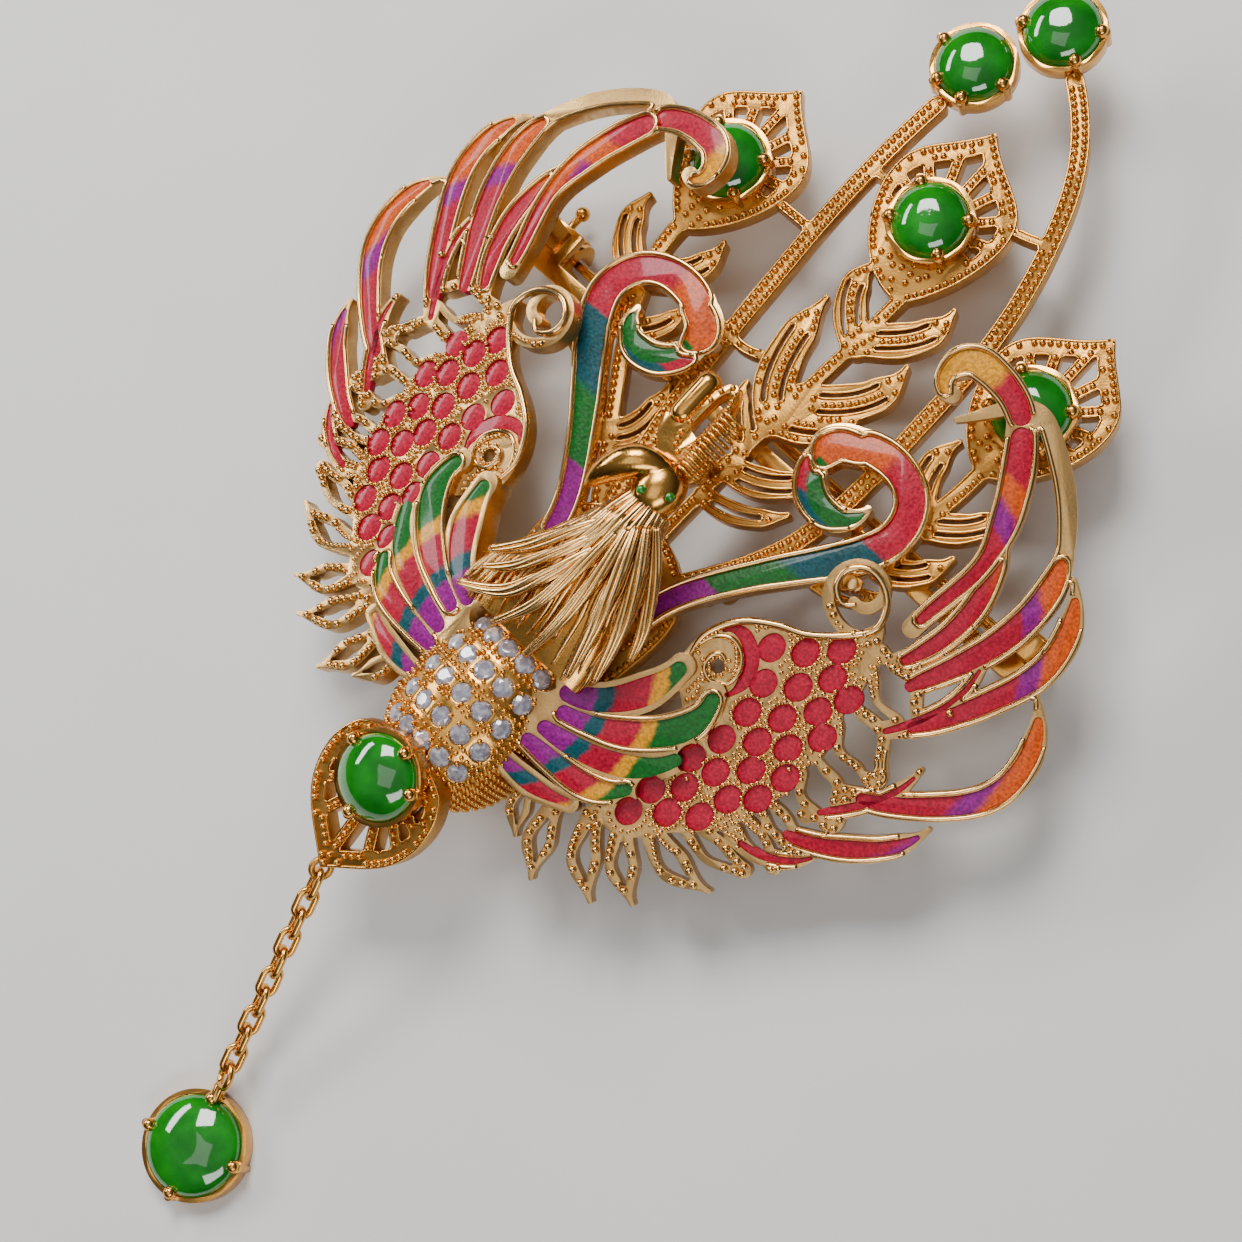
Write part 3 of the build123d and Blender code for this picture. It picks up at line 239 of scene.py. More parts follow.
def gold_material(name, shade, tone, rough=0.2, grain=0.12):
    """Polished gilding: brighter on the crests, toned in the grain, with a fine cast texture."""
    made, field, shader = new_material(name, Metallic=1.0)
    spot, _ = place_axes(field)
    broad = noise(field, spot, 0.7, 3.0)
    fine = noise(field, spot, 7.0, 3.0)
    worn = (broad * 0.6 + fine * 0.55).step(0.35, 0.8)
    tint = worn.mix([a * 0.62 + b * 0.38 for a, b in zip(shade, tone)], shade)
    bump = field.node("Bump", None, {"Strength": grain, "Distance": 0.00006, "Height": fine})
    plug(made, shader, Base_Color=tint, Roughness=rough + 0.16 * (1.0 - worn), Normal=bump)
    return made


def enamel_finish(made, field, shader, shade, spot):
    """Glassy enamel over a hammered ground: colour brightened in flecks, partly the ground's own grain and
    partly painted glints of light off the gold beneath, and a light ripple under gloss.
    """
    fleck_and_glint_mask = noise(field, spot, 5.5, 2.0)
    ripple = field.node("TexVoronoi", {"feature": "SMOOTH_F1"},
                        {"Vector": spot, "Scale": 4.2, "Smoothness": 0.6})
    # Flecks lift the colour: partly the ground's own grain, partly painted glints of light off the gold
    # under the enamel.
    light = field.node("VectorMath", {"operation": "SCALE"},
                       {0: shade, "Scale": 0.5 + 0.6 * fleck_and_glint_mask.step(0.25, 0.8)})
    bump = field.node("Bump", None, {"Strength": 0.3, "Distance": 0.00007, "Height": ripple})
    plug(made, shader, Base_Color=light, Roughness=0.3 + 0.2 * fleck_and_glint_mask, Normal=bump)


def enamel_base(name):
    """An enamel's constant sockets: a thin clear coat over a dull ground."""
    return new_material(name, Coat_Weight=0.25, Coat_Roughness=0.06, IOR=1.45, Specular_IOR_Level=0.25)


def bird_axes(field):
    """Object coordinates, and the distance to the side and up the bird, in its own millimetres."""
    spot, (x, y, _) = place_axes(field)
    return spot, field.math("ABSOLUTE", x), y + BIRD_UP


def distance(side, up, centre):
    """How far a place is from a point drawn on the right half of the bird."""
    return ((side - centre[0]) ** 2.0 + (up - centre[1]) ** 2.0).root()


def banded(along, first, bands):
    """Colours in a row along a field: each band is where it starts, where it is full, and its colour."""
    shade = first
    for low, high, following in bands:
        shade = along.step(low, high).mix(shade, following)
    return shade


def wing_enamel_material(name, finish):
    """Long feathers: crimson root, a purple band, then orange; the curled tip is red and yellow."""
    made, field, shader = enamel_base(name)
    spot, side, up = bird_axes(field)
    wobble = noise(field, spot, 1.6, 2.0) * 0.5
    out = distance(side, up, (12.0, 8.0)) + wobble
    shade = banded(out, finish.crimson, ((13.4, 13.9, finish.magenta), (14.5, 15.1, finish.orange)))
    shade = (up + wobble).step(23.2, 23.7).mix(shade, finish.crimson)
    head = (up.step(23.0, 23.5)) * (1.0 - (side + wobble).step(11.3, 12.1))
    shade = head.mix(shade, finish.yellow)
    tip = up.step(17.0, 19.4) * (1.0 - up.step(20.8, 21.2)) * side.step(18.0, 18.7)
    tip = tip * (1.0 - side.step(20.4, 20.8))
    shade = tip.mix(shade, finish.orange)
    enamel_finish(made, field, shader, shade, spot)
    return made


def covert_enamel_material(name, finish):
    """Covert feathers: bands of green, yellow, crimson, blue-green and purple towards the body."""
    made, field, shader = enamel_base(name)
    spot, side, up = bird_axes(field)
    out = distance(side, up, (1.0, -6.5)) - 0.25 * (up + 6.5)
    out = out + noise(field, spot, 1.6, 2.0) * 0.5 - 0.25
    shade = banded(out, finish.magenta, ((5.2, 5.5, finish.teal), (6.1, 6.4, finish.crimson),
                                         (7.9, 8.3, finish.yellow), (8.7, 9.0, finish.green)))
    enamel_finish(made, field, shader, shade, spot)
    return made


def plume_enamel_material(name, finish):
    """Plumes: purple foot, green and blue-green shaft, crimson bend, orange head, green curl."""
    made, field, shader = enamel_base(name)
    spot, side, up = bird_axes(field)
    up = up + noise(field, spot, 1.6, 2.0) * 0.3 - 0.15
    shade = banded(up, finish.magenta, ((7.0, 7.25, finish.green), (10.6, 11.4, finish.teal),
                                        (14.9, 15.2, finish.crimson)))
    head = (1.0 - side.step(8.4, 9.4)) * up.step(16.8, 17.2)
    shade = head.mix(shade, finish.orange)
    curl = 1.0 - distance(side, up, PLUME_HOLE).step(2.75, 2.85)
    curl = curl * (1.0 - up.step(17.1, 17.3)) * (1.0 - side.step(10.0, 10.1))
    shade = curl.mix(shade, finish.green)
    enamel_finish(made, field, shader, shade, spot)
    return made


def scale_enamel_material(name, finish):
    """Scales: crimson, a little lighter in places."""
    made, field, shader = enamel_base(name)
    spot, _ = place_axes(field)
    shade = noise(field, spot, 0.8).step(0.3, 0.7).mix(finish.crimson, [c * 1.1 for c in finish.crimson])
    enamel_finish(made, field, shader, shade, spot)
    return made


def cabochon_material(name, finish):
    """Glossy cloudy green stone."""
    made, field, shader = new_material(
        name, Coat_Weight=1.0, Coat_Roughness=0.015, IOR=1.6, Transmission_Weight=0.12,
        Subsurface_Weight=0.25, Subsurface_Scale=0.002)
    spot, _ = place_axes(field)
    cloud = noise(field, spot, 0.45, 4.0)
    shade = cloud.step(0.3, 0.75).mix([c * 0.72 for c in finish.glass], [c * 1.5 for c in finish.glass])
    fine = noise(field, spot, 2.5, 2.0)
    plug(made, shader, Base_Color=shade, Roughness=0.05 + 0.05 * fine)
    return made


def clear_stone_material(name):
    """Cut clear stone with a faint lilac cast, its colour patched from dark lilac to near white as painted
    sparkle of the facets.
    """
    made, field, shader = new_material(name, Metallic=0.0, IOR=2.1, Coat_Weight=1.0, Coat_Roughness=0.0,
                                       Transmission_Weight=0.55)
    spot, _ = place_axes(field)
    painted_sparkle_mask = noise(field, spot, 2.6, 1.0)
    # The colour swings from dark lilac to near white by noise: painted sparkle, bright and dark facet
    # reflections.
    shade = painted_sparkle_mask.step(0.35, 0.7).mix((0.46, 0.44, 0.56), (0.95, 0.94, 1.0))
    plug(made, shader, Base_Color=shade, Roughness=0.02 + 0.06 * painted_sparkle_mask)
    return made


def floor_material(name, shade):
    """Plain matt studio floor, very slightly clouded."""
    made, field, shader = new_material(name, Specular_IOR_Level=0.25)
    spot, _ = place_axes(field)
    cloud = noise(field, spot, 0.05, 3.0)
    grain = noise(field, spot, 3.0, 2.0)
    tint = cloud.step(0.2, 0.8).mix([c * 0.96 for c in shade], shade)
    plug(made, shader, Base_Color=tint, Roughness=0.62 + 0.1 * grain)
    return made


# ---------------------------------------------------------------- meshes
def linked(mesh, name, coat, body="bird"):
    """Puts a finished mesh in the scene as a piece with one material that rides on a body."""
    mesh.materials.clear()
    mesh.materials.append(coat)
    made = bpy.data.objects.new(name, mesh)
    bpy.context.scene.collection.objects.link(made)
    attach(made, body)
    return made


def object_from(bm, name, coat, body="bird"):
    """Turns a bmesh into a finished piece that rides on a body."""
    mesh = bpy.data.meshes.new(name)
    bm.to_mesh(mesh)
    bm.free()
    return linked(mesh, name, coat, body)


def node_bmesh(node):
    """A CAD node's mesh as a bmesh with its doubles merged."""
    bm = bmesh.new()
    bm.from_mesh(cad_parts[node].data)
    bmesh.ops.remove_doubles(bm, verts=bm.verts, dist=0.0000005)
    return bm


def flatten(bm):
    """Joins the triangles of each flat face into one face."""
    bmesh.ops.dissolve_limit(bm, angle_limit=math.radians(1.0), verts=bm.verts, edges=bm.edges)


def soften(bm, width, angle=32.0, segments=2):
    """Rounds the outer edges of a casting and shades it smooth between the sharp ones."""
    sharp = [e for e in bm.edges if len(e.link_faces) == 2 and e.calc_face_angle() > math.radians(angle)]
    if width > 0 and sharp:
        bmesh.ops.bevel(bm, geom=sharp, offset=width, offset_type="OFFSET", affect="EDGES",
                        segments=segments, profile=0.5, material=-1, clamp_overlap=True)
    shade_smooth(bm, 50.0)


def shade_smooth(bm, angle=50.0):
    """Smooth shading everywhere but on edges sharper than an angle in degrees."""
    for face in bm.faces:
        face.smooth = True
    for edge in bm.edges:
        bent = len(edge.link_faces) == 2 and edge.calc_face_angle() > math.radians(angle)
        edge.smooth = not bent


def recast(node, coat, width, body="bird"):
    """Replaces a CAD node with the same shape, its edges softened."""
    bm = node_bmesh(node)
    flatten(bm)
    soften(bm, width)
    piece = object_from(bm, node + "_cast", coat, body)
    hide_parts(node)
    return piece


# ---------------------------------------------------------------- bead rows
CELL = 0.001               # m, side of a cube in which neighbouring beads are looked up
EDGE_SAMPLE = 0.00008      # m between the points that stand for an outline


def top_faces(bm, normal, level):
    """The faces of a plate that look along a direction at one height along it."""
    bm.faces.ensure_lookup_table()
    found = []
    for face in bm.faces:
        if face.normal.dot(normal) > 0.995 and abs(face.calc_center_median().dot(normal) - level) < 0.00003:
            found.append(face)
    return found


def outline_loops(faces):
    """Closed outlines of a set of faces, with the metal on the left of each."""
    chosen = set(faces)
    follow = {}
    for face in faces:
        for loop in face.loops:
            others = [f for f in loop.edge.link_faces if f in chosen and f is not face]
            if not others:
                follow.setdefault(loop.vert, []).append(loop.link_loop_next.vert)
    loops = []
    while follow:
        start = next(iter(follow))
        path = [start]
        here = start
        while here in follow:
            ahead = follow[here].pop()
            if not follow[here]:
                del follow[here]
            here = ahead
            if here is start:
                break
            path.append(here)
        loops.append([v.co.copy() for v in path])
    return loops


def evenly(path, pitch):
    """Evenly spaced points and directions round a closed outline."""
    points = path + [path[0]]
    spans = [(b - a).length for a, b in zip(points, points[1:])]
    total = sum(spans)
    count = int(total / pitch)
    if count < 4:
        return []
    found = []
    index = 0
    walked = 0.0
    for step in range(count):
        goal = total * step / count
        while index < len(spans) - 1 and walked + spans[index] < goal:
            walked += spans[index]
            index += 1
        way = points[index + 1] - points[index]
        if way.length > 0:
            found.append((points[index] + way * ((goal - walked) / way.length), way.normalized()))
    return found


def cell_of(point):
    """The cube of space that a point lies in, by which beads are looked up."""
    return tuple(int(math.floor(v / CELL)) for v in point)


class BeadField:
    """Places for beads on the top of a plate, kept off its edges and off each other."""

    def __init__(self, bm, normal, level):
        self.normal = normal
        faces = top_faces(bm, normal, level)
        self.loops = outline_loops(faces)
        self.edge = self.edge_tree()
        copy = bmesh.new()
        corners = {}
        for face in faces:
            ring = []
            for vert in face.verts:
                if vert not in corners:
                    corners[vert] = copy.verts.new(vert.co)
                ring.append(corners[vert])
            copy.faces.new(ring)
        bmesh.ops.triangulate(copy, faces=copy.faces)
        self.top = BVHTree.FromBMesh(copy)
        copy.free()
        self.placed = []
        self.cells = {}

    def edge_tree(self):
        """All outlines as closely spaced points, to measure how far a place is from the edge."""
        samples = []
        for path in self.loops:
            samples.extend(point for point, _ in evenly(path, EDGE_SAMPLE))
        tree = KDTree(len(samples))
        for number, point in enumerate(samples):
            tree.insert(point, number)
        tree.balance()
        return tree

    def on_metal(self, point):
        """True where the plate's top lies under a place."""
        hit = self.top.ray_cast(point + self.normal * CELL, -self.normal, 2 * CELL)
        return hit[0] is not None

    def crowded(self, point, gap):
        """True where a bead already placed comes within a gap."""
        cell = cell_of(point)
        for shift in product((-1, 0, 1), repeat=3):
            near = tuple(a + b for a, b in zip(cell, shift))
            for other, radius in self.cells.get(near, ()):
                if (other - point).length < gap + radius:
                    return True
        return False

    def is_hole(self, path):
        """True for the outline of an opening or a pocket, which runs clockwise."""
        area = 0.0
        for first, second in zip(path, path[1:] + path[:1]):
            area += first.cross(second).dot(self.normal)
        return area < 0

    def rims(self, inset, keep=None, holes_only=False, pitch=0.00022, clear=0.8):
        """Runs of points along every outline, moved inwards: centre lines for rim wires."""
        runs = []
        for path in self.loops:
            if holes_only and not self.is_hole(path):
                continue
            run = []
            places = evenly(path, pitch)
            for point, way in places + places[:1]:
                spot = point + self.normal.cross(way) * inset
                if (keep is None or keep(spot)) and self.edge.find(spot)[2] > inset * clear:
                    run.append(spot)
                    continue
                if len(run) > 3:
                    runs.append(run)
                run = []
            if len(run) > 3:
                runs.append(run)
        return runs

    def add_rows(self, inset, pitch, radius, keep=None, tight=0.9, clear=0.86, holes_only=False):
        """One row of beads inside every outline, where there is room for it."""
        for path in self.loops:
            if holes_only and not self.is_hole(path):
                continue
            for point, way in evenly(path, pitch):
                spot = point + self.normal.cross(way) * inset
                if keep and not keep(spot):
                    continue
                if self.edge.find(spot)[2] < inset * clear or not self.on_metal(spot):
                    continue
                if self.crowded(spot, tight * pitch - radius):
                    continue
                self.placed.append((spot, radius))
                self.cells.setdefault(cell_of(spot), []).append((spot, radius))


def dome():
    """A small round bead as plain corner and face lists, radius one, its pole along +Z."""
    bm = bmesh.new()
    bmesh.ops.create_uvsphere(bm, u_segments=8, v_segments=6, radius=1.0)
    bm.verts.index_update()
    corners = [v.co.copy() for v in bm.verts]
    faces = [[v.index for v in f.verts] for f in bm.faces]
    bm.free()
    return corners, faces


def beads_object(name, places, coat, normal=None):
    """Half-sunk round beads: each place is a point and a radius, or a point, a radius and a normal."""
    corners, faces = dome()
    verts = []
    rings = []
    for place in places:
        spot, radius = place[0], place[1]
        out = place[2] if len(place) > 2 else normal
        turn = out.to_track_quat("Z", "Y").to_matrix()
        start = len(verts)
        centre = spot + out * radius * BEAD_RISE
        verts.extend(centre + turn @ (corner * radius) for corner in corners)
        rings.extend([start + index for index in ring] for ring in faces)
    mesh = bpy.data.meshes.new(name)
    mesh.from_pydata(verts, [], rings)
    mesh.shade_smooth()
    return linked(mesh, name, coat)


# ---------------------------------------------------------------- materials by name
def material(name):
    """The named finish, made on first use from the panel's colours."""
    full = "pin_" + name
    if full in bpy.data.materials:
        return bpy.data.materials[full]
    finish = bpy.context.scene.pin_finish
    dark = finish.dark_gold
    makers = {
        "gold": lambda: gold_material(full, finish.gold, dark),
        # The two ground golds are the castings under beads and rims: rougher, with the gold darkened to
        # 0.72 as painted shade between the beads.
        "ground_gold": lambda: gold_material(full, [c * 0.72 for c in finish.gold], dark, 0.3, 0.3),
        "pale_gold": lambda: gold_material(full, finish.pale_gold, dark, 0.14, 0.08),
        "ground_pale": lambda: gold_material(full, [c * 0.72 for c in finish.pale_gold], dark, 0.26, 0.25),
        "rim_gold": lambda: gold_material(full, finish.pale_gold, dark, 0.08, 0.03),
        "bead_gold": lambda: gold_material(full, finish.gold, dark, 0.16, 0.05),
        "wire_gold": lambda: gold_material(full, finish.gold, dark, 0.12, 0.04),
        "long_feather_enamel": lambda: wing_enamel_material(full, finish),
        "covert_enamel": lambda: covert_enamel_material(full, finish),
        "plume_enamel": lambda: plume_enamel_material(full, finish),
        "scale_enamel": lambda: scale_enamel_material(full, finish),
        "green_glass": lambda: cabochon_material(full, finish),
        "clear_stone": lambda: clear_stone_material(full),
    }
    return makers[name]()


# ---------------------------------------------------------------- wings
def wing_normal(side):
    """The way a wing's face looks; side is 1 for the right wing and -1 for the left."""
    fall, lift = (math.radians(v) for v in WING_LEAN)
    away = Vector((math.sin(fall), -math.cos(fall) * math.sin(lift), math.cos(fall) * math.cos(lift)))
    away.x *= side
    return away


def wing_level(side, rise):
    """Distance of a wing's face from the origin along its normal, rise above it in mm."""
    return wing_normal(side).dot(Vector((0, -BIRD_UP, WING_HIGH)) * MM) + rise * MM


def bird_place(spot):
    """A point in the bird's own millimetres, as if on the right wing."""
    return abs(spot.x) / MM, spot.y / MM + BIRD_UP


def in_scales(spot):
    """True on the part of a wing that holds the scales."""
    x, y = bird_place(spot)
    return x < 17.9 and -7.6 < y < 10.6 and not (x > 15.2 and y < -3.2)


def off_scales(spot):
    """True on the beaded loops and spurs round the scales."""
    _, y = bird_place(spot)
    return y < 11.2 and not in_scales(spot)


def feather_rim(spot):
    """True on the long feathers, whose rims are polished wires."""
    x, y = bird_place(spot)
    return y > 10.6 or x > 20.3 or (x > 19.4 and y < 0.6 and y > -3.4)


def wing_point(side, x, y, rise):
    """A point drawn on the wing's own plane, in mm, as a place in the frame."""
    fall, lift = (math.radians(v) for v in WING_LEAN)
    spot = Matrix.Rotation(lift, 3, "X") @ Matrix.Rotation(fall, 3, "Y") @ Vector((x, y, rise))
    return Vector((side * spot.x, spot.y - BIRD_UP, spot.z + WING_HIGH)) * MM


def smooth_way(points, steps):
    """Points along a soft curve through the given ones."""
    found = []
    for index in range(len(points) - 1):
        before = points[max(index - 1, 0)]
        first, second = points[index], points[index + 1]
        after = points[min(index + 2, len(points) - 1)]
        for step in range(steps):
            t = step / steps
            found.append(0.5 * ((2 * first) + (second - before) * t
                                + (2 * before - 5 * first + 4 * second - after) * t * t
                                + (3 * first - before - 3 * second + after) * t ** 3))
    found.append(points[-1])
    return found


# two wires drawn on the wing's plane, in mm: the small spiral and the top edge with its scroll
EDGE_WIRE = ((10.3, 4.2), (9.7, 4.4), (9.3, 3.9), (9.5, 3.1), (10.3, 2.8), (11.1, 3.3), (11.2, 4.3),
             (10.6, 5.2), (9.6, 5.5), (8.7, 4.9), (8.3, 3.9))
TOP_WIRE = ((8.4, 2.9), (8.2, 4.6), (9.2, 6.5), (11.0, 7.8), (12.8, 8.6), (14.6, 10.1), (15.6, 11.5),
            (15.2, 12.9), (14.2, 13.7), (13.0, 13.8), (12.1, 13.0), (12.2, 11.9), (13.1, 11.3),
            (13.8, 11.8))
# m: beads of the loops and spurs, and the rim wires
LOOP_BEAD = 0.00025
LOOP_PITCH = 0.00048
RIM_INSET = 0.00017
WING_RIM = 0.00016
PLUME_RIM = 0.00017


def wing_wires(bm, side):
    """The polished wires that edge the scales, thinner at their ends."""
    for way, rise, wide in ((EDGE_WIRE, 0.1, 0.17), (TOP_WIRE, 0.06, 0.24)):
        points = smooth_way([wing_point(side, x, y, rise) for x, y in way], 6)
        count = len(points)
        radii = []
        for number in range(count):
            full = min(1.0, 8 * number / count, 6 * (count - 1 - number) / count)
            radii.append(wide * MM * (0.55 + 0.45 * full))
        tube(bm, points, radii, 8)


def dress_wing(name, side):
    """One wing: its casting with soft edges, roped scale borders, beaded loops and polished rims."""
    sizes = bpy.context.scene.pin_detail
    normal = wing_normal(side)
    bm = node_bmesh(name + "_wing")
    flatten(bm)
    face = BeadField(bm, normal, wing_level(side, 0.0))
    face.add_rows(0.00027, LOOP_PITCH, LOOP_BEAD, keep=off_scales, clear=0.8)
    face.add_rows(0.0007, LOOP_PITCH, LOOP_BEAD, keep=off_scales)
    rope = sizes.fine_bead
    face.add_rows(0.00011, sizes.fine_pitch, rope, keep=in_scales, tight=0.8, clear=0.2, holes_only=True)
    face.add_rows(0.00036, sizes.fine_pitch, rope, keep=in_scales, tight=0.8)
    high = BeadField(bm, normal, wing_level(side, COVERT_RISE))
    beads_object(name + "_wing_beads", face.placed, material("rim_gold"), normal=normal)
    rims = bmesh.new()
    for field, keep in ((face, feather_rim), (high, None)):
        for run in field.rims(RIM_INSET, keep=keep, holes_only=True, clear=0.55):
            tube(rims, run, [WING_RIM] * len(run))
    wing_wires(rims, side)
    shade_smooth(rims, 80)
    object_from(rims, name + "_wing_rims", material("rim_gold"))
    soften(bm, sizes.edge)
    # The wing's casting takes the darkened ground gold: painted shade between its beads and rims.
    piece = object_from(bm, name + "_wing_cast", material("ground_pale"))
    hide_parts(name + "_wing")
    for kind in ("primary", "scale", "covert"):
        slot = "long_feather_enamel" if kind == "primary" else kind + "_enamel"
        recast(name + "_" + kind + "_enamel", material(slot), sizes.edge)


def dress_plume(name):
    """One plume: casting with polished rims, and its enamel."""
    sizes = bpy.context.scene.pin_detail
    bm = node_bmesh(name + "_plume")
    flatten(bm)
    top = BeadField(bm, Vector((0, 0, 1)), PLUME_HIGH * MM)
    rims = bmesh.new()
    for run in top.rims(RIM_INSET, holes_only=True, clear=0.55):
        tube(rims, run, [PLUME_RIM] * len(run))
    shade_smooth(rims, 80)
    object_from(rims, name + "_plume_rims", material("rim_gold"))
    soften(bm, sizes.edge)
    piece = object_from(bm, name + "_plume_cast", material("pale_gold"))
    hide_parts(name + "_plume")
    recast(name + "_plume_enamel", material("plume_enamel"), sizes.edge)


# ---------------------------------------------------------------- tail
TAIL_ROWS = 6              # rows of beads from the edge inwards, where the plate is wide enough
FIRST_ROW = 0.00032        # m from the edge to the first row
ROW_PITCH = 0.00045        # m from row to row
EDGE_INSET = 0.00007       # m from the edge to the raised wire's middle
EDGE_WIRE_R = 0.0001       # m, radius of that wire


def beaded_plate(node, normal, level):
    """A flat casting with a raised edge wire and rows of beads over its whole top."""
    sizes = bpy.context.scene.pin_detail
    bm = node_bmesh(node)
    flatten(bm)
    top = BeadField(bm, normal, level)
    for row in range(TAIL_ROWS):
        top.add_rows(FIRST_ROW + row * ROW_PITCH, sizes.bead_pitch, sizes.bead, tight=0.94)
    beads_object(node + "_beads", top.placed, material("bead_gold"), normal=normal)
    edges = bmesh.new()
    for run in top.rims(EDGE_INSET):
        tube(edges, run, [EDGE_WIRE_R] * len(run), 5)
    shade_smooth(edges, 80)
    object_from(edges, node + "_edges", material("wire_gold"))
    soften(bm, sizes.edge)
    # The plate's casting takes the darkened ground gold: painted shade between its beads.
    piece = object_from(bm, node + "_cast", material("ground_gold"))
    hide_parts(node)


# ---------------------------------------------------------------- tubes
def tube(bm, points, radii, sides=6):
    """A round wire through points, its radius given at each, with closed ends."""
    rings = []
    across = None
    for index, point in enumerate(points):
        way = points[min(index + 1, len(points) - 1)] - points[max(index - 1, 0)]
        way = way.normalized() if way.length > 0 else Vector((0, 1, 0))
        if across is None:
            across = way.orthogonal().normalized()
        across = (across - way * across.dot(way)).normalized()
        other = way.cross(across)
        ring = []
        for step in range(sides):
            turn = 2 * math.pi * step / sides
            offset = across * math.cos(turn) + other * math.sin(turn)
            ring.append(bm.verts.new(point + offset * radii[index]))
        rings.append(ring)
    for ring, following in zip(rings, rings[1:]):
        for step in range(sides):
            after = (step + 1) % sides
            bm.faces.new((ring[step], ring[after], following[after], following[step]))
    bm.faces.new(list(reversed(rings[0])))
    bm.faces.new(rings[-1])


def hoop(bm, centre, axis, radius, wire, steps=20):
    """A wire bent once round an axis."""
    first = axis.orthogonal().normalized()
    second = axis.cross(first)
    points = []
    for step in range(steps + 1):
        turn = math.radians(360.0 * step / steps)
        points.append(centre + (first * math.cos(turn) + second * math.sin(turn)) * radius)
    tube(bm, points, [wire] * len(points))


def eased(values, t):
    """Eases between equally spaced values, t from 0 to 1."""
    place = min(max(t, 0.0), 1.0) * (len(values) - 1)
    index = min(int(place), len(values) - 2)
    part = place - index
    part = part * part * (3 - 2 * part)
    return values[index] * (1 - part) + values[index + 1] * part


# ---------------------------------------------------------------- neck, head and crest
# the ruff's rings from head to shoulders, in mm: their run up the bird, middle, half width, half height
# and height
RUFF_UP = (8.6, -3.2)
RUFF_MID = (1.0, 1.0, 0.8, 0.3, 0.0)
RUFF_WIDE = (1.3, 2.1, 3.4, 4.7, 5.0)
RUFF_TALL = (1.2, 1.9, 2.3, 2.2, 1.4)
RUFF_HIGH = (10.5, 10.2, 9.6, 9.0, 8.7)
RUFF_SPREAD = 104          # degrees to each side of its ridge that the strands cover
ROW_START = (0.0, 0.16, 0.42)      # where each row of strands starts down the ruff
STRAND_STEPS = 10


def ruff_point(turn, t):
    """A point over the ruff: turn degrees round it from its ridge, t from head to shoulders."""
    side = math.sin(math.radians(turn))
    lift = math.cos(math.radians(turn))
    x = eased(RUFF_MID, t) + eased(RUFF_WIDE, t) * side
    z = eased(RUFF_HIGH, t) + eased(RUFF_TALL, t) * lift
    up = RUFF_UP[0] + (RUFF_UP[1] - RUFF_UP[0]) * t
    return Vector((x, up - BIRD_UP, z)) * MM


# the ruff's loose locks: each a way in the bird's own mm, and its thickness
LOCKS = (
    (((0.4, 6.2, 11.6), (-0.9, 4.0, 11.8), (-2.6, 1.6, 11.3), (-4.6, -0.2, 10.5)), 0.44),
    (((0.6, 5.2, 11.9), (-0.6, 2.6, 12.1), (-2.2, 0.2, 11.6), (-4.0, -1.2, 11.0)), 0.36),
    (((0.9, 4.0, 12.0), (-0.2, 1.0, 12.1), (-1.8, -1.4, 11.4), (-4.7, -2.9, 10.4)), 0.44),
    (((1.2, 5.6, 12.2), (1.0, 2.4, 12.3), (0.4, -0.6, 11.8), (-1.2, -3.2, 10.8)), 0.38),
    (((1.6, 6.2, 12.2), (2.2, 3.2, 12.3), (2.2, 0.0, 11.7), (1.6, -3.4, 10.6)), 0.4),
    (((1.9, 6.6, 12.1), (3.0, 4.0, 12.2), (3.9, 0.8, 11.6), (4.4, -2.6, 10.4)), 0.44),
    (((2.3, 7.0, 11.9), (3.8, 4.6, 11.8), (5.0, 1.6, 11.1), (5.7, -1.8, 10.0)), 0.42),
    (((2.6, 7.4, 11.5), (4.4, 5.2, 11.1), (5.8, 2.6, 10.3), (6.3, 0.6, 9.6)), 0.38),
)
LOCK_STRANDS = 5


def twisted_lock(bm, way, thick):
    """A lock of strands that turn slowly round each other, thin at both ends."""
    line = smooth_way([Vector((x, y - BIRD_UP, z)) * MM for x, y, z in way], 8)
    count = len(line) - 1
    for strand in range(LOCK_STRANDS):
        points = []
        radii = []
        for number, spot in enumerate(line):
            part = number / count
            ahead = (line[min(number + 1, count)] - line[max(number - 1, 0)]).normalized()
            across = ahead.cross(Vector((0, 0, 1))).normalized()
            lift = across.cross(ahead)
            turn = 2 * math.pi * strand / LOCK_STRANDS + 2.6 * part
            full = thick * MM * (0.25 + 0.9 * math.sin(math.pi * min(0.12 + part * 0.8, 1.0)))
            points.append(spot + (across * math.cos(turn) + lift * 0.6 * math.sin(turn)) * full * 0.62)
            radii.append(full * 0.42)
        tube(bm, points, radii)


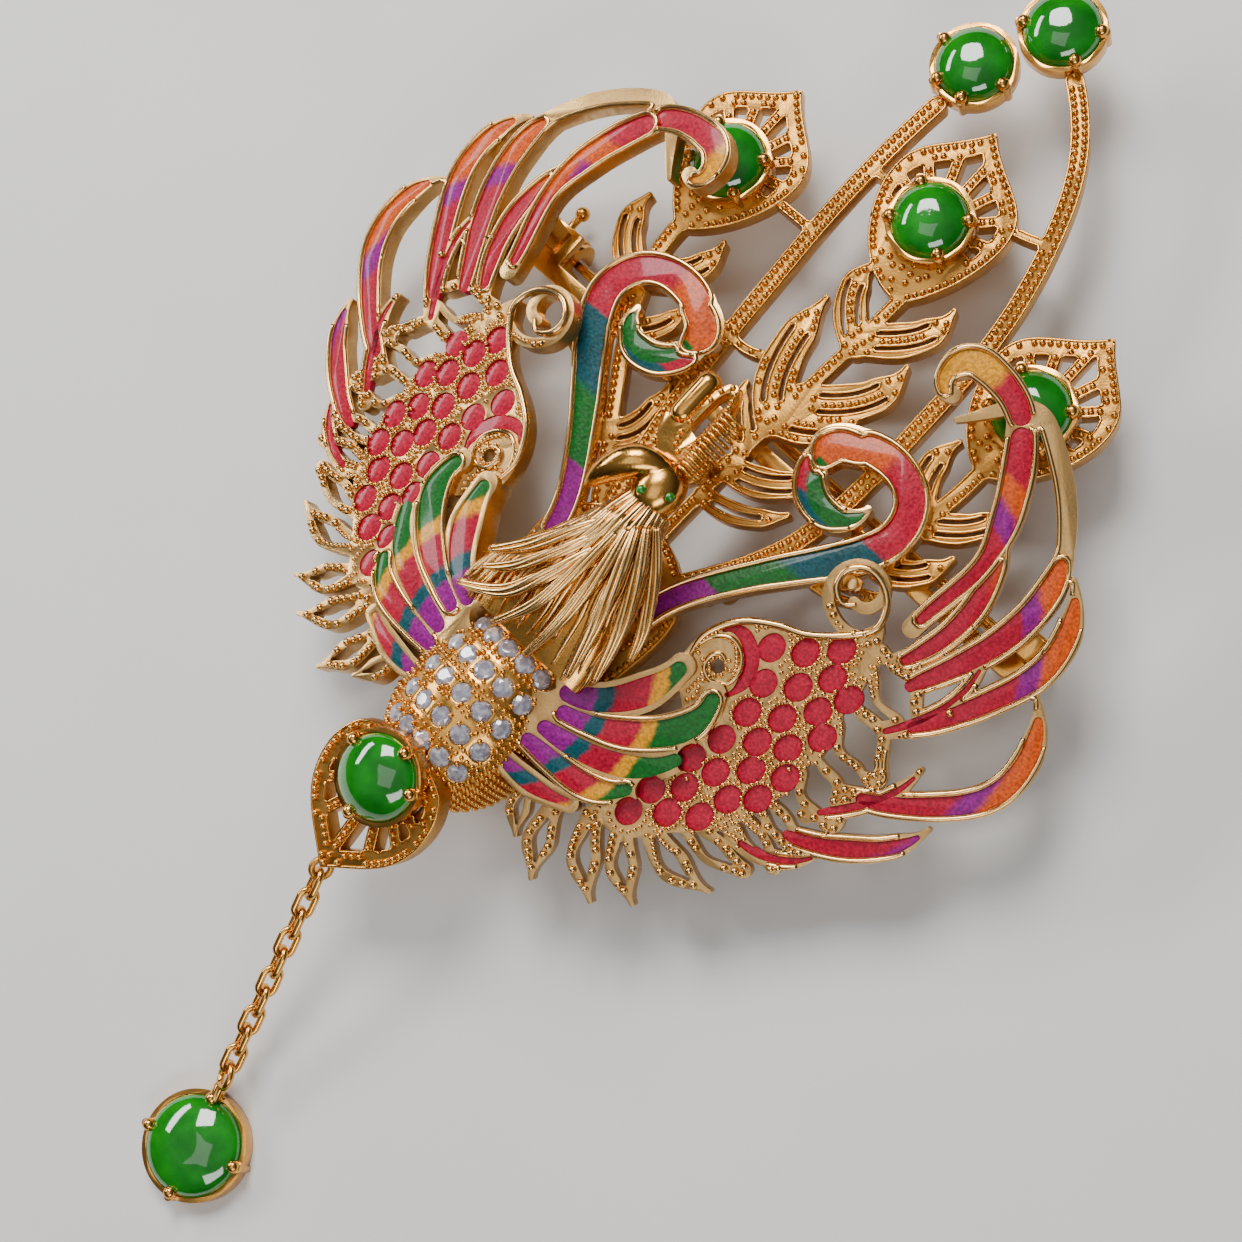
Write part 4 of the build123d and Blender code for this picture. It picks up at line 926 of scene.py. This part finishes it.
def ruff_strands():
    """Engraved ruff: fine strands that run down it, under a few loose twisted locks."""
    rng = random.Random(11)
    base = node_bmesh("neck_ruff")
    skin = BVHTree.FromBMesh(base)
    base.free()
    bm = bmesh.new()
    count = bpy.context.scene.pin_detail.strands
    for row, start in enumerate(ROW_START):
        for number in range(count):
            share = (number + 0.5 * (row % 2) + rng.uniform(-0.3, 0.3)) / count
            turn = RUFF_SPREAD * (2 * share - 1)
            finish = min(1.0, start + rng.uniform(0.42, 0.6))
            sway = rng.uniform(-5, 5)
            thick = rng.uniform(0.1, 0.19) * MM
            points = []
            radii = []
            for step in range(STRAND_STEPS + 1):
                part = step / STRAND_STEPS
                t = start + (finish - start) * part
                spot = ruff_point(turn + sway * math.sin(3.1 * part) + 7 * row * part, t)
                near, out, _, _ = skin.find_nearest(spot)
                points.append(near + out * thick * (0.15 + 0.5 * row / 2 + 0.5 * part))
                radii.append(thick * (0.5 + 1.1 * math.sin(math.pi * min(part * 0.9 + 0.12, 1.0))) * 0.85)
            tube(bm, points, radii, 5)
    for way, thick in LOCKS:
        twisted_lock(bm, way, thick)
    shade_smooth(bm, 70)
    return object_from(bm, "ruff_strands", material("pale_gold"))


# the crest's ribbed barrel and beaded cap, in mm
CREST_FOOT = (1.5, 10.6, 10.9)
CREST_TOP = 11.1
RIBS = 12
RIB_FIRST = 0.4
RIB_PITCH = 0.37
RIB_R = 0.84
RIB_WIRE = 0.13
CREST_BEAD = 0.2
CREST_PITCH = 0.42


def crest_ribs():
    """Ribs round the crest's barrel."""
    bm = bmesh.new()
    axis = Vector((0, 1, 0.08)).normalized()
    foot = Vector((CREST_FOOT[0], CREST_FOOT[1] - BIRD_UP, CREST_FOOT[2])) * MM
    for number in range(RIBS):
        hoop(bm, foot + axis * (RIB_FIRST + number * RIB_PITCH) * MM, axis, RIB_R * MM, RIB_WIRE * MM)
    shade_smooth(bm, 70)
    return object_from(bm, "crest_ribs", material("bead_gold"))


def dress_head():
    """Ruff under its strands, head, ribbed crest and the small green eyes."""
    sizes = bpy.context.scene.pin_detail
    recast("neck_ruff", material("gold"), 0.0)
    ruff_strands()
    recast("head", material("wire_gold"), sizes.edge)
    bm = node_bmesh("crest")
    flatten(bm)
    up = Vector((0, 0, 1))
    rim = BeadField(bm, up, CREST_TOP * MM)
    rim.add_rows(CREST_BEAD * MM, CREST_PITCH * MM, CREST_BEAD * MM)
    beads_object("crest_beads", rim.placed, material("bead_gold"), normal=up)
    soften(bm, sizes.edge)
    piece = object_from(bm, "crest_cast", material("wire_gold"))
    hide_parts("crest")
    crest_ribs()
    recast("eye_stones", material("green_glass"), 0.0)


# ---------------------------------------------------------------- body and its stones
BARREL = ((-14.2, 1.6), (-13.3, 3.1), (-11.4, 4.35), (-8.6, 4.9), (-5.4, 4.6), (-2.6, 3.7))
BARREL_AXIS = 4.9          # mm, height of the barrel's middle
STONE_R = 0.66
STONE_ROWS = 5
STONE_FIRST = -3.85        # mm up the bird of the first row of stones
STONE_ROW = 1.87           # mm from row to row
STONE_TURN = 19.5          # degrees from stone to stone in a row of five
CLAW_R = 0.17
GRAIN_ROWS = 27
GRAIN_UP = (-2.9, -13.8)   # mm up the bird of the first and last rows of grains
GRAIN_PITCH = 0.42
GRAIN_SPREAD = 112         # degrees to each side of the ridge
GRAIN_SHARE = 0.62         # share of a whole turn that this covers


def barrel_radius(up):
    """The barrel's radius in mm at a height up the bird."""
    for (low, small), (high, large) in zip(BARREL, BARREL[1:]):
        if low <= up <= high:
            return small + (large - small) * (up - low) / (high - low)
    return BARREL[0][1]


def barrel_place(up, turn):
    """Frame on the barrel's skin: +Z out of it."""
    slope = (barrel_radius(up + 0.4) - barrel_radius(up - 0.4)) / 0.8
    place = Matrix.Translation(Vector((0, up - BIRD_UP, BARREL_AXIS)) * MM)
    place = place @ Matrix.Rotation(math.radians(turn), 4, "Y")
    place = place @ Matrix.Translation((0, 0, (barrel_radius(up) - 0.05) * MM))
    return place @ Matrix.Rotation(math.atan(slope), 4, "X")


def stone_spots():
    """Every stone's height up the bird in mm and its turn round the barrel in degrees."""
    spots = []
    for row in range(STONE_ROWS):
        for column in (-2, -1, 0, 1, 2):
            spots.append((STONE_FIRST - row * STONE_ROW, column * STONE_TURN))
    return spots


def brilliant(bm, place, radius):
    """A round brilliant: table, crown facets, girdle and pavilion."""
    rings = ((0.56, 0.42, 8, 0.0), (0.84, 0.26, 8, 0.5), (1.0, 0.04, 16, 0.0), (1.0, -0.06, 16, 0.0),
             (0.45, -0.55, 8, 0.0), (0.02, -0.95, 8, 0.0))
    verts = []
    for wide, high, count, shift in rings:
        for number in range(count):
            turn = 2 * math.pi * (number + shift) / count
            corner = Vector((wide * math.cos(turn), wide * math.sin(turn), high)) * radius
            verts.append(bm.verts.new(place @ corner))
    bmesh.ops.convex_hull(bm, input=verts)


def pave_brilliants(places, rng):
    """One cut stone in each seat, each at its own turn."""
    bm = bmesh.new()
    for place in places:
        spin = Matrix.Rotation(rng.uniform(0, 0.7), 4, "Z")
        brilliant(bm, place @ spin, STONE_R * MM)
    loose = [v for v in bm.verts if not v.link_faces]
    bmesh.ops.delete(bm, geom=loose, context="VERTS")
    stones = object_from(bm, "pave_brilliants", material("clear_stone"))
    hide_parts("pave_stones")


def claw_beads(places):
    """Four small claws round each stone."""
    claws = []
    for place in places:
        for quarter in range(4):
            way = math.radians(45 + 90 * quarter)
            spot = place @ (Vector((math.cos(way), math.sin(way), 0.12)) * (STONE_R + 0.05) * MM)
            claws.append((spot, CLAW_R * MM, place.to_3x3() @ Vector((0, 0, 1))))
    return claws


def grain_beads(places, claws, rng):
    """Rows of small grains over the barrel's skin, clear of its stones and claws."""
    skin = node_bmesh("body")
    tree = BVHTree.FromBMesh(skin)
    skin.free()
    centres = [place.translation for place in places]
    grains = []
    for row in range(GRAIN_ROWS):
        up = GRAIN_UP[0] + (GRAIN_UP[1] - GRAIN_UP[0]) * row / (GRAIN_ROWS - 1)
        around = int(2 * math.pi * barrel_radius(up) * GRAIN_SHARE / GRAIN_PITCH)
        for number in range(around):
            turn = math.radians(GRAIN_SPREAD * (2 * (number + 0.5 * (row % 2)) / around - 1))
            out = Vector((math.sin(turn), 0, math.cos(turn)))
            eye = Vector((0, up - BIRD_UP, BARREL_AXIS)) * MM + out * 10 * MM
            hit, away, _, _ = tree.ray_cast(eye, -out)
            if hit is None or min((hit - spot).length for spot in centres) < (STONE_R + 0.13) * MM:
                continue
            if min((hit - claw[0]).length for claw in claws) < 0.26 * MM:
                continue
            grains.append((hit, rng.uniform(0.15, 0.2) * MM, away))
    return grains


def dress_body():
    """The barrel with its stones, their claws and the grains between them."""
    rng = random.Random(5)
    places = [barrel_place(up, turn) for up, turn in stone_spots()]
    pave_brilliants(places, rng)
    claws = claw_beads(places)
    grains = grain_beads(places, claws, rng)
    beads_object("body_grains", grains + claws, material("bead_gold"))
    recast("body", material("gold"), bpy.context.scene.pin_detail.edge)


# ---------------------------------------------------------------- cabochons, feather and chain
def dress_cabochons():
    """Each green stone and its clawed cup."""
    edge = bpy.context.scene.pin_detail.edge
    for name in CABOCHONS:
        body = "drop" if name == "drop" else "bird"
        recast(name + "_setting", material("wire_gold"), edge, body=body)
        recast(name + "_cabochon", material("green_glass"), 0.0, body=body)


LOWER_LEAN = 17            # degrees that the lower feather falls towards its tip
LOWER_TOP = (-0.35, -14.4, 8.5)    # a point on its top face, in the bird's own mm
LINKS = 10


def dress_lower_feather():
    """The leaning eye feather below the body."""
    lean = math.radians(LOWER_LEAN)
    normal = Vector((0, -math.sin(lean), math.cos(lean)))
    level = normal.dot(Vector((LOWER_TOP[0], LOWER_TOP[1] - BIRD_UP, LOWER_TOP[2])) * MM)
    beaded_plate("lower_feather", normal, level)


def dress_chain():
    """Each link on its own body."""
    for number in range(1, LINKS + 1):
        tag = str(number).zfill(2)
        recast("chain_link_" + tag, material("wire_gold"), 0.0, body="link_" + tag)


def dress_pin_back():
    """Bar, hinge, pin stem and turning catch."""
    edge = bpy.context.scene.pin_detail.edge
    for node, body in (("back_bar", "bird"), ("hinge_bracket", "bird"), ("hinge_rivet", "bird"),
                       ("catch_base", "bird"), ("pin_stem", "pin"), ("catch_rotor", "rotor")):
        recast(node, material("wire_gold"), edge, body=body)


# ---------------------------------------------------------------- stage
def area_light(name, place, size, power, shade=(1.0, 1.0, 1.0)):
    """A soft box that looks at the frame's origin."""
    made = bpy.data.lights.new(name, "AREA")
    made.shape = "RECTANGLE"
    made.size, made.size_y = size
    made.energy = power
    made.color = shade
    lamp = bpy.data.objects.new(name, made)
    lamp.location = place
    lamp.rotation_euler = (-Vector(place)).to_track_quat("-Z", "Y").to_euler()
    bpy.context.scene.collection.objects.link(lamp)


def build_floor(shade):
    """A flat studio floor under the pin, in metres."""
    bm = bmesh.new()
    bmesh.ops.create_grid(bm, x_segments=2, y_segments=2, size=1.2)
    mesh = bpy.data.meshes.new("floor")
    bm.to_mesh(mesh)
    bm.free()
    mesh.materials.append(floor_material("floor", shade))
    made = bpy.data.objects.new("floor", mesh)
    bpy.context.scene.collection.objects.link(made)


def build_world():
    """Soft grey surroundings, bright overhead and darker at the sides so that metal has contrast."""
    world = bpy.data.worlds.new("studio")
    world.use_nodes = True
    tree = world.node_tree
    field = Field(tree)
    spot = field.node("TexCoord", output=0)
    high = field.node("SeparateXYZ", None, {0: spot}, output=2)
    shade = high.ramp([(0.0, (0.10, 0.09, 0.085)), (0.35, (0.16, 0.155, 0.15)), (0.62, (0.5, 0.5, 0.52)),
                       (1.0, (1.0, 1.0, 1.05))])
    back = tree.nodes["Background"]
    tree.links.new(shade.socket, back.inputs["Color"])
    back.inputs["Strength"].default_value = 0.25
    bpy.context.scene.world = world


def build_camera(settings):
    """The camera, turned by its picture's own right and down directions."""
    right = Vector(settings.right_way).normalized()
    down = Vector(settings.down_way)
    down = (down - right * down.dot(right)).normalized()
    ahead = right.cross(down)
    camera = bpy.data.cameras.new("camera")
    camera.lens = settings.lens
    camera.sensor_width = 36.0
    camera.clip_start = 0.005
    camera.dof.use_dof = False
    made = bpy.data.objects.new("camera", camera)
    turned = Matrix((right, -down, -ahead)).transposed().to_4x4()
    made.matrix_world = Matrix.Translation(Vector(settings.eye)) @ turned
    bpy.context.scene.collection.objects.link(made)
    bpy.context.scene.camera = made


def build_stage():
    """Floor, surroundings, four soft boxes and the camera."""
    settings = bpy.context.scene.pin_stage
    build_floor(settings.floor_colour)
    build_world()
    power = settings.light_power
    area_light("key", (-0.16, 0.16, 0.30), (0.16, 0.16), 1.3 * power, (1.0, 0.985, 0.96))
    area_light("window", (-0.26, -0.05, 0.16), (0.22, 0.05), 0.5 * power, (0.96, 0.98, 1.0))
    area_light("overhead", (0.04, -0.10, 0.45), (0.3, 0.3), 0.3 * power)
    area_light("fill", (0.25, -0.15, 0.22), (0.2, 0.1), 0.4 * power)
    build_camera(settings)


# ---------------------------------------------------------------- operators and panel
class PIN_OT_wings(bpy.types.Operator):
    """Dresses both wings: casting, beads and enamel"""
    bl_idname = "pin.wings"
    bl_label = "Wings"

    def execute(self, context):
        dress_wing("right", 1)
        dress_wing("left", -1)
        return {"FINISHED"}


class PIN_OT_plumes(bpy.types.Operator):
    """Dresses the two curled plumes"""
    bl_idname = "pin.plumes"
    bl_label = "Plumes"

    def execute(self, context):
        for name in SIDES:
            dress_plume(name)
        return {"FINISHED"}


class PIN_OT_tail(bpy.types.Operator):
    """Dresses the tail fan with its rows of beads"""
    bl_idname = "pin.tail"
    bl_label = "Tail"

    def execute(self, context):
        for node in ("tail_frame", "middle_tail_feather", "left_tail_feather", "right_tail_feather"):
            beaded_plate(node, Vector((0, 0, 1)), TAIL_HIGH * MM)
        return {"FINISHED"}


class PIN_OT_body(bpy.types.Operator):
    """Dresses the granulated body and its stones"""
    bl_idname = "pin.body"
    bl_label = "Body"

    def execute(self, context):
        dress_body()
        return {"FINISHED"}


class PIN_OT_head(bpy.types.Operator):
    """Dresses the ruff, head, crest and eyes"""
    bl_idname = "pin.head"
    bl_label = "Head"

    def execute(self, context):
        dress_head()
        return {"FINISHED"}


class PIN_OT_cabochons(bpy.types.Operator):
    """Dresses every cabochon and its claw setting"""
    bl_idname = "pin.cabochons"
    bl_label = "Cabochons"

    def execute(self, context):
        dress_cabochons()
        return {"FINISHED"}


class PIN_OT_lower_feather(bpy.types.Operator):
    """Dresses the lower feather"""
    bl_idname = "pin.lower_feather"
    bl_label = "Lower feather"

    def execute(self, context):
        dress_lower_feather()
        return {"FINISHED"}


class PIN_OT_chain(bpy.types.Operator):
    """Dresses the links of the chain"""
    bl_idname = "pin.chain"
    bl_label = "Chain"

    def execute(self, context):
        dress_chain()
        return {"FINISHED"}


class PIN_OT_pin_back(bpy.types.Operator):
    """Dresses the pin, its hinge and its catch"""
    bl_idname = "pin.pin_back"
    bl_label = "Pin back"

    def execute(self, context):
        dress_pin_back()
        return {"FINISHED"}


class PIN_OT_stage(bpy.types.Operator):
    """Sets the floor, lights and camera"""
    bl_idname = "pin.stage"
    bl_label = "Stage"

    def execute(self, context):
        build_stage()
        return {"FINISHED"}


OPERATORS = (PIN_OT_wings, PIN_OT_plumes, PIN_OT_tail, PIN_OT_body, PIN_OT_head, PIN_OT_cabochons,
             PIN_OT_lower_feather, PIN_OT_chain, PIN_OT_pin_back, PIN_OT_stage)


class PIN_PT_sidebar(bpy.types.Panel):
    """Settings and steps of the hair pin"""
    bl_idname = "PIN_PT_sidebar"
    bl_label = "Hair pin"
    bl_space_type = "VIEW_3D"
    bl_region_type = "UI"
    bl_category = "Hair pin"

    def draw(self, context):
        for holder in SETTINGS:
            box = self.layout.box()
            settings = getattr(context.scene, holder)
            for name in settings.__annotations__:
                box.prop(settings, name)
        for operator in OPERATORS:
            self.layout.operator(operator.bl_idname)


def register():
    for holder, kind in SETTINGS.items():
        bpy.utils.register_class(kind)
        setattr(bpy.types.Scene, holder, PointerProperty(type=kind))
    for kind in (*OPERATORS, PIN_PT_sidebar):
        bpy.utils.register_class(kind)


def unregister():
    for kind in (PIN_PT_sidebar, *reversed(OPERATORS)):
        bpy.utils.unregister_class(kind)
    for holder, kind in SETTINGS.items():
        delattr(bpy.types.Scene, holder)
        bpy.utils.unregister_class(kind)


def main():
    register()
    bpy.ops.pin.wings()
    bpy.ops.pin.plumes()
    bpy.ops.pin.tail()
    bpy.ops.pin.body()
    bpy.ops.pin.head()
    bpy.ops.pin.cabochons()
    bpy.ops.pin.lower_feather()
    bpy.ops.pin.chain()
    bpy.ops.pin.pin_back()
    bpy.ops.pin.stage()


if __name__ == "__main__":
    main()
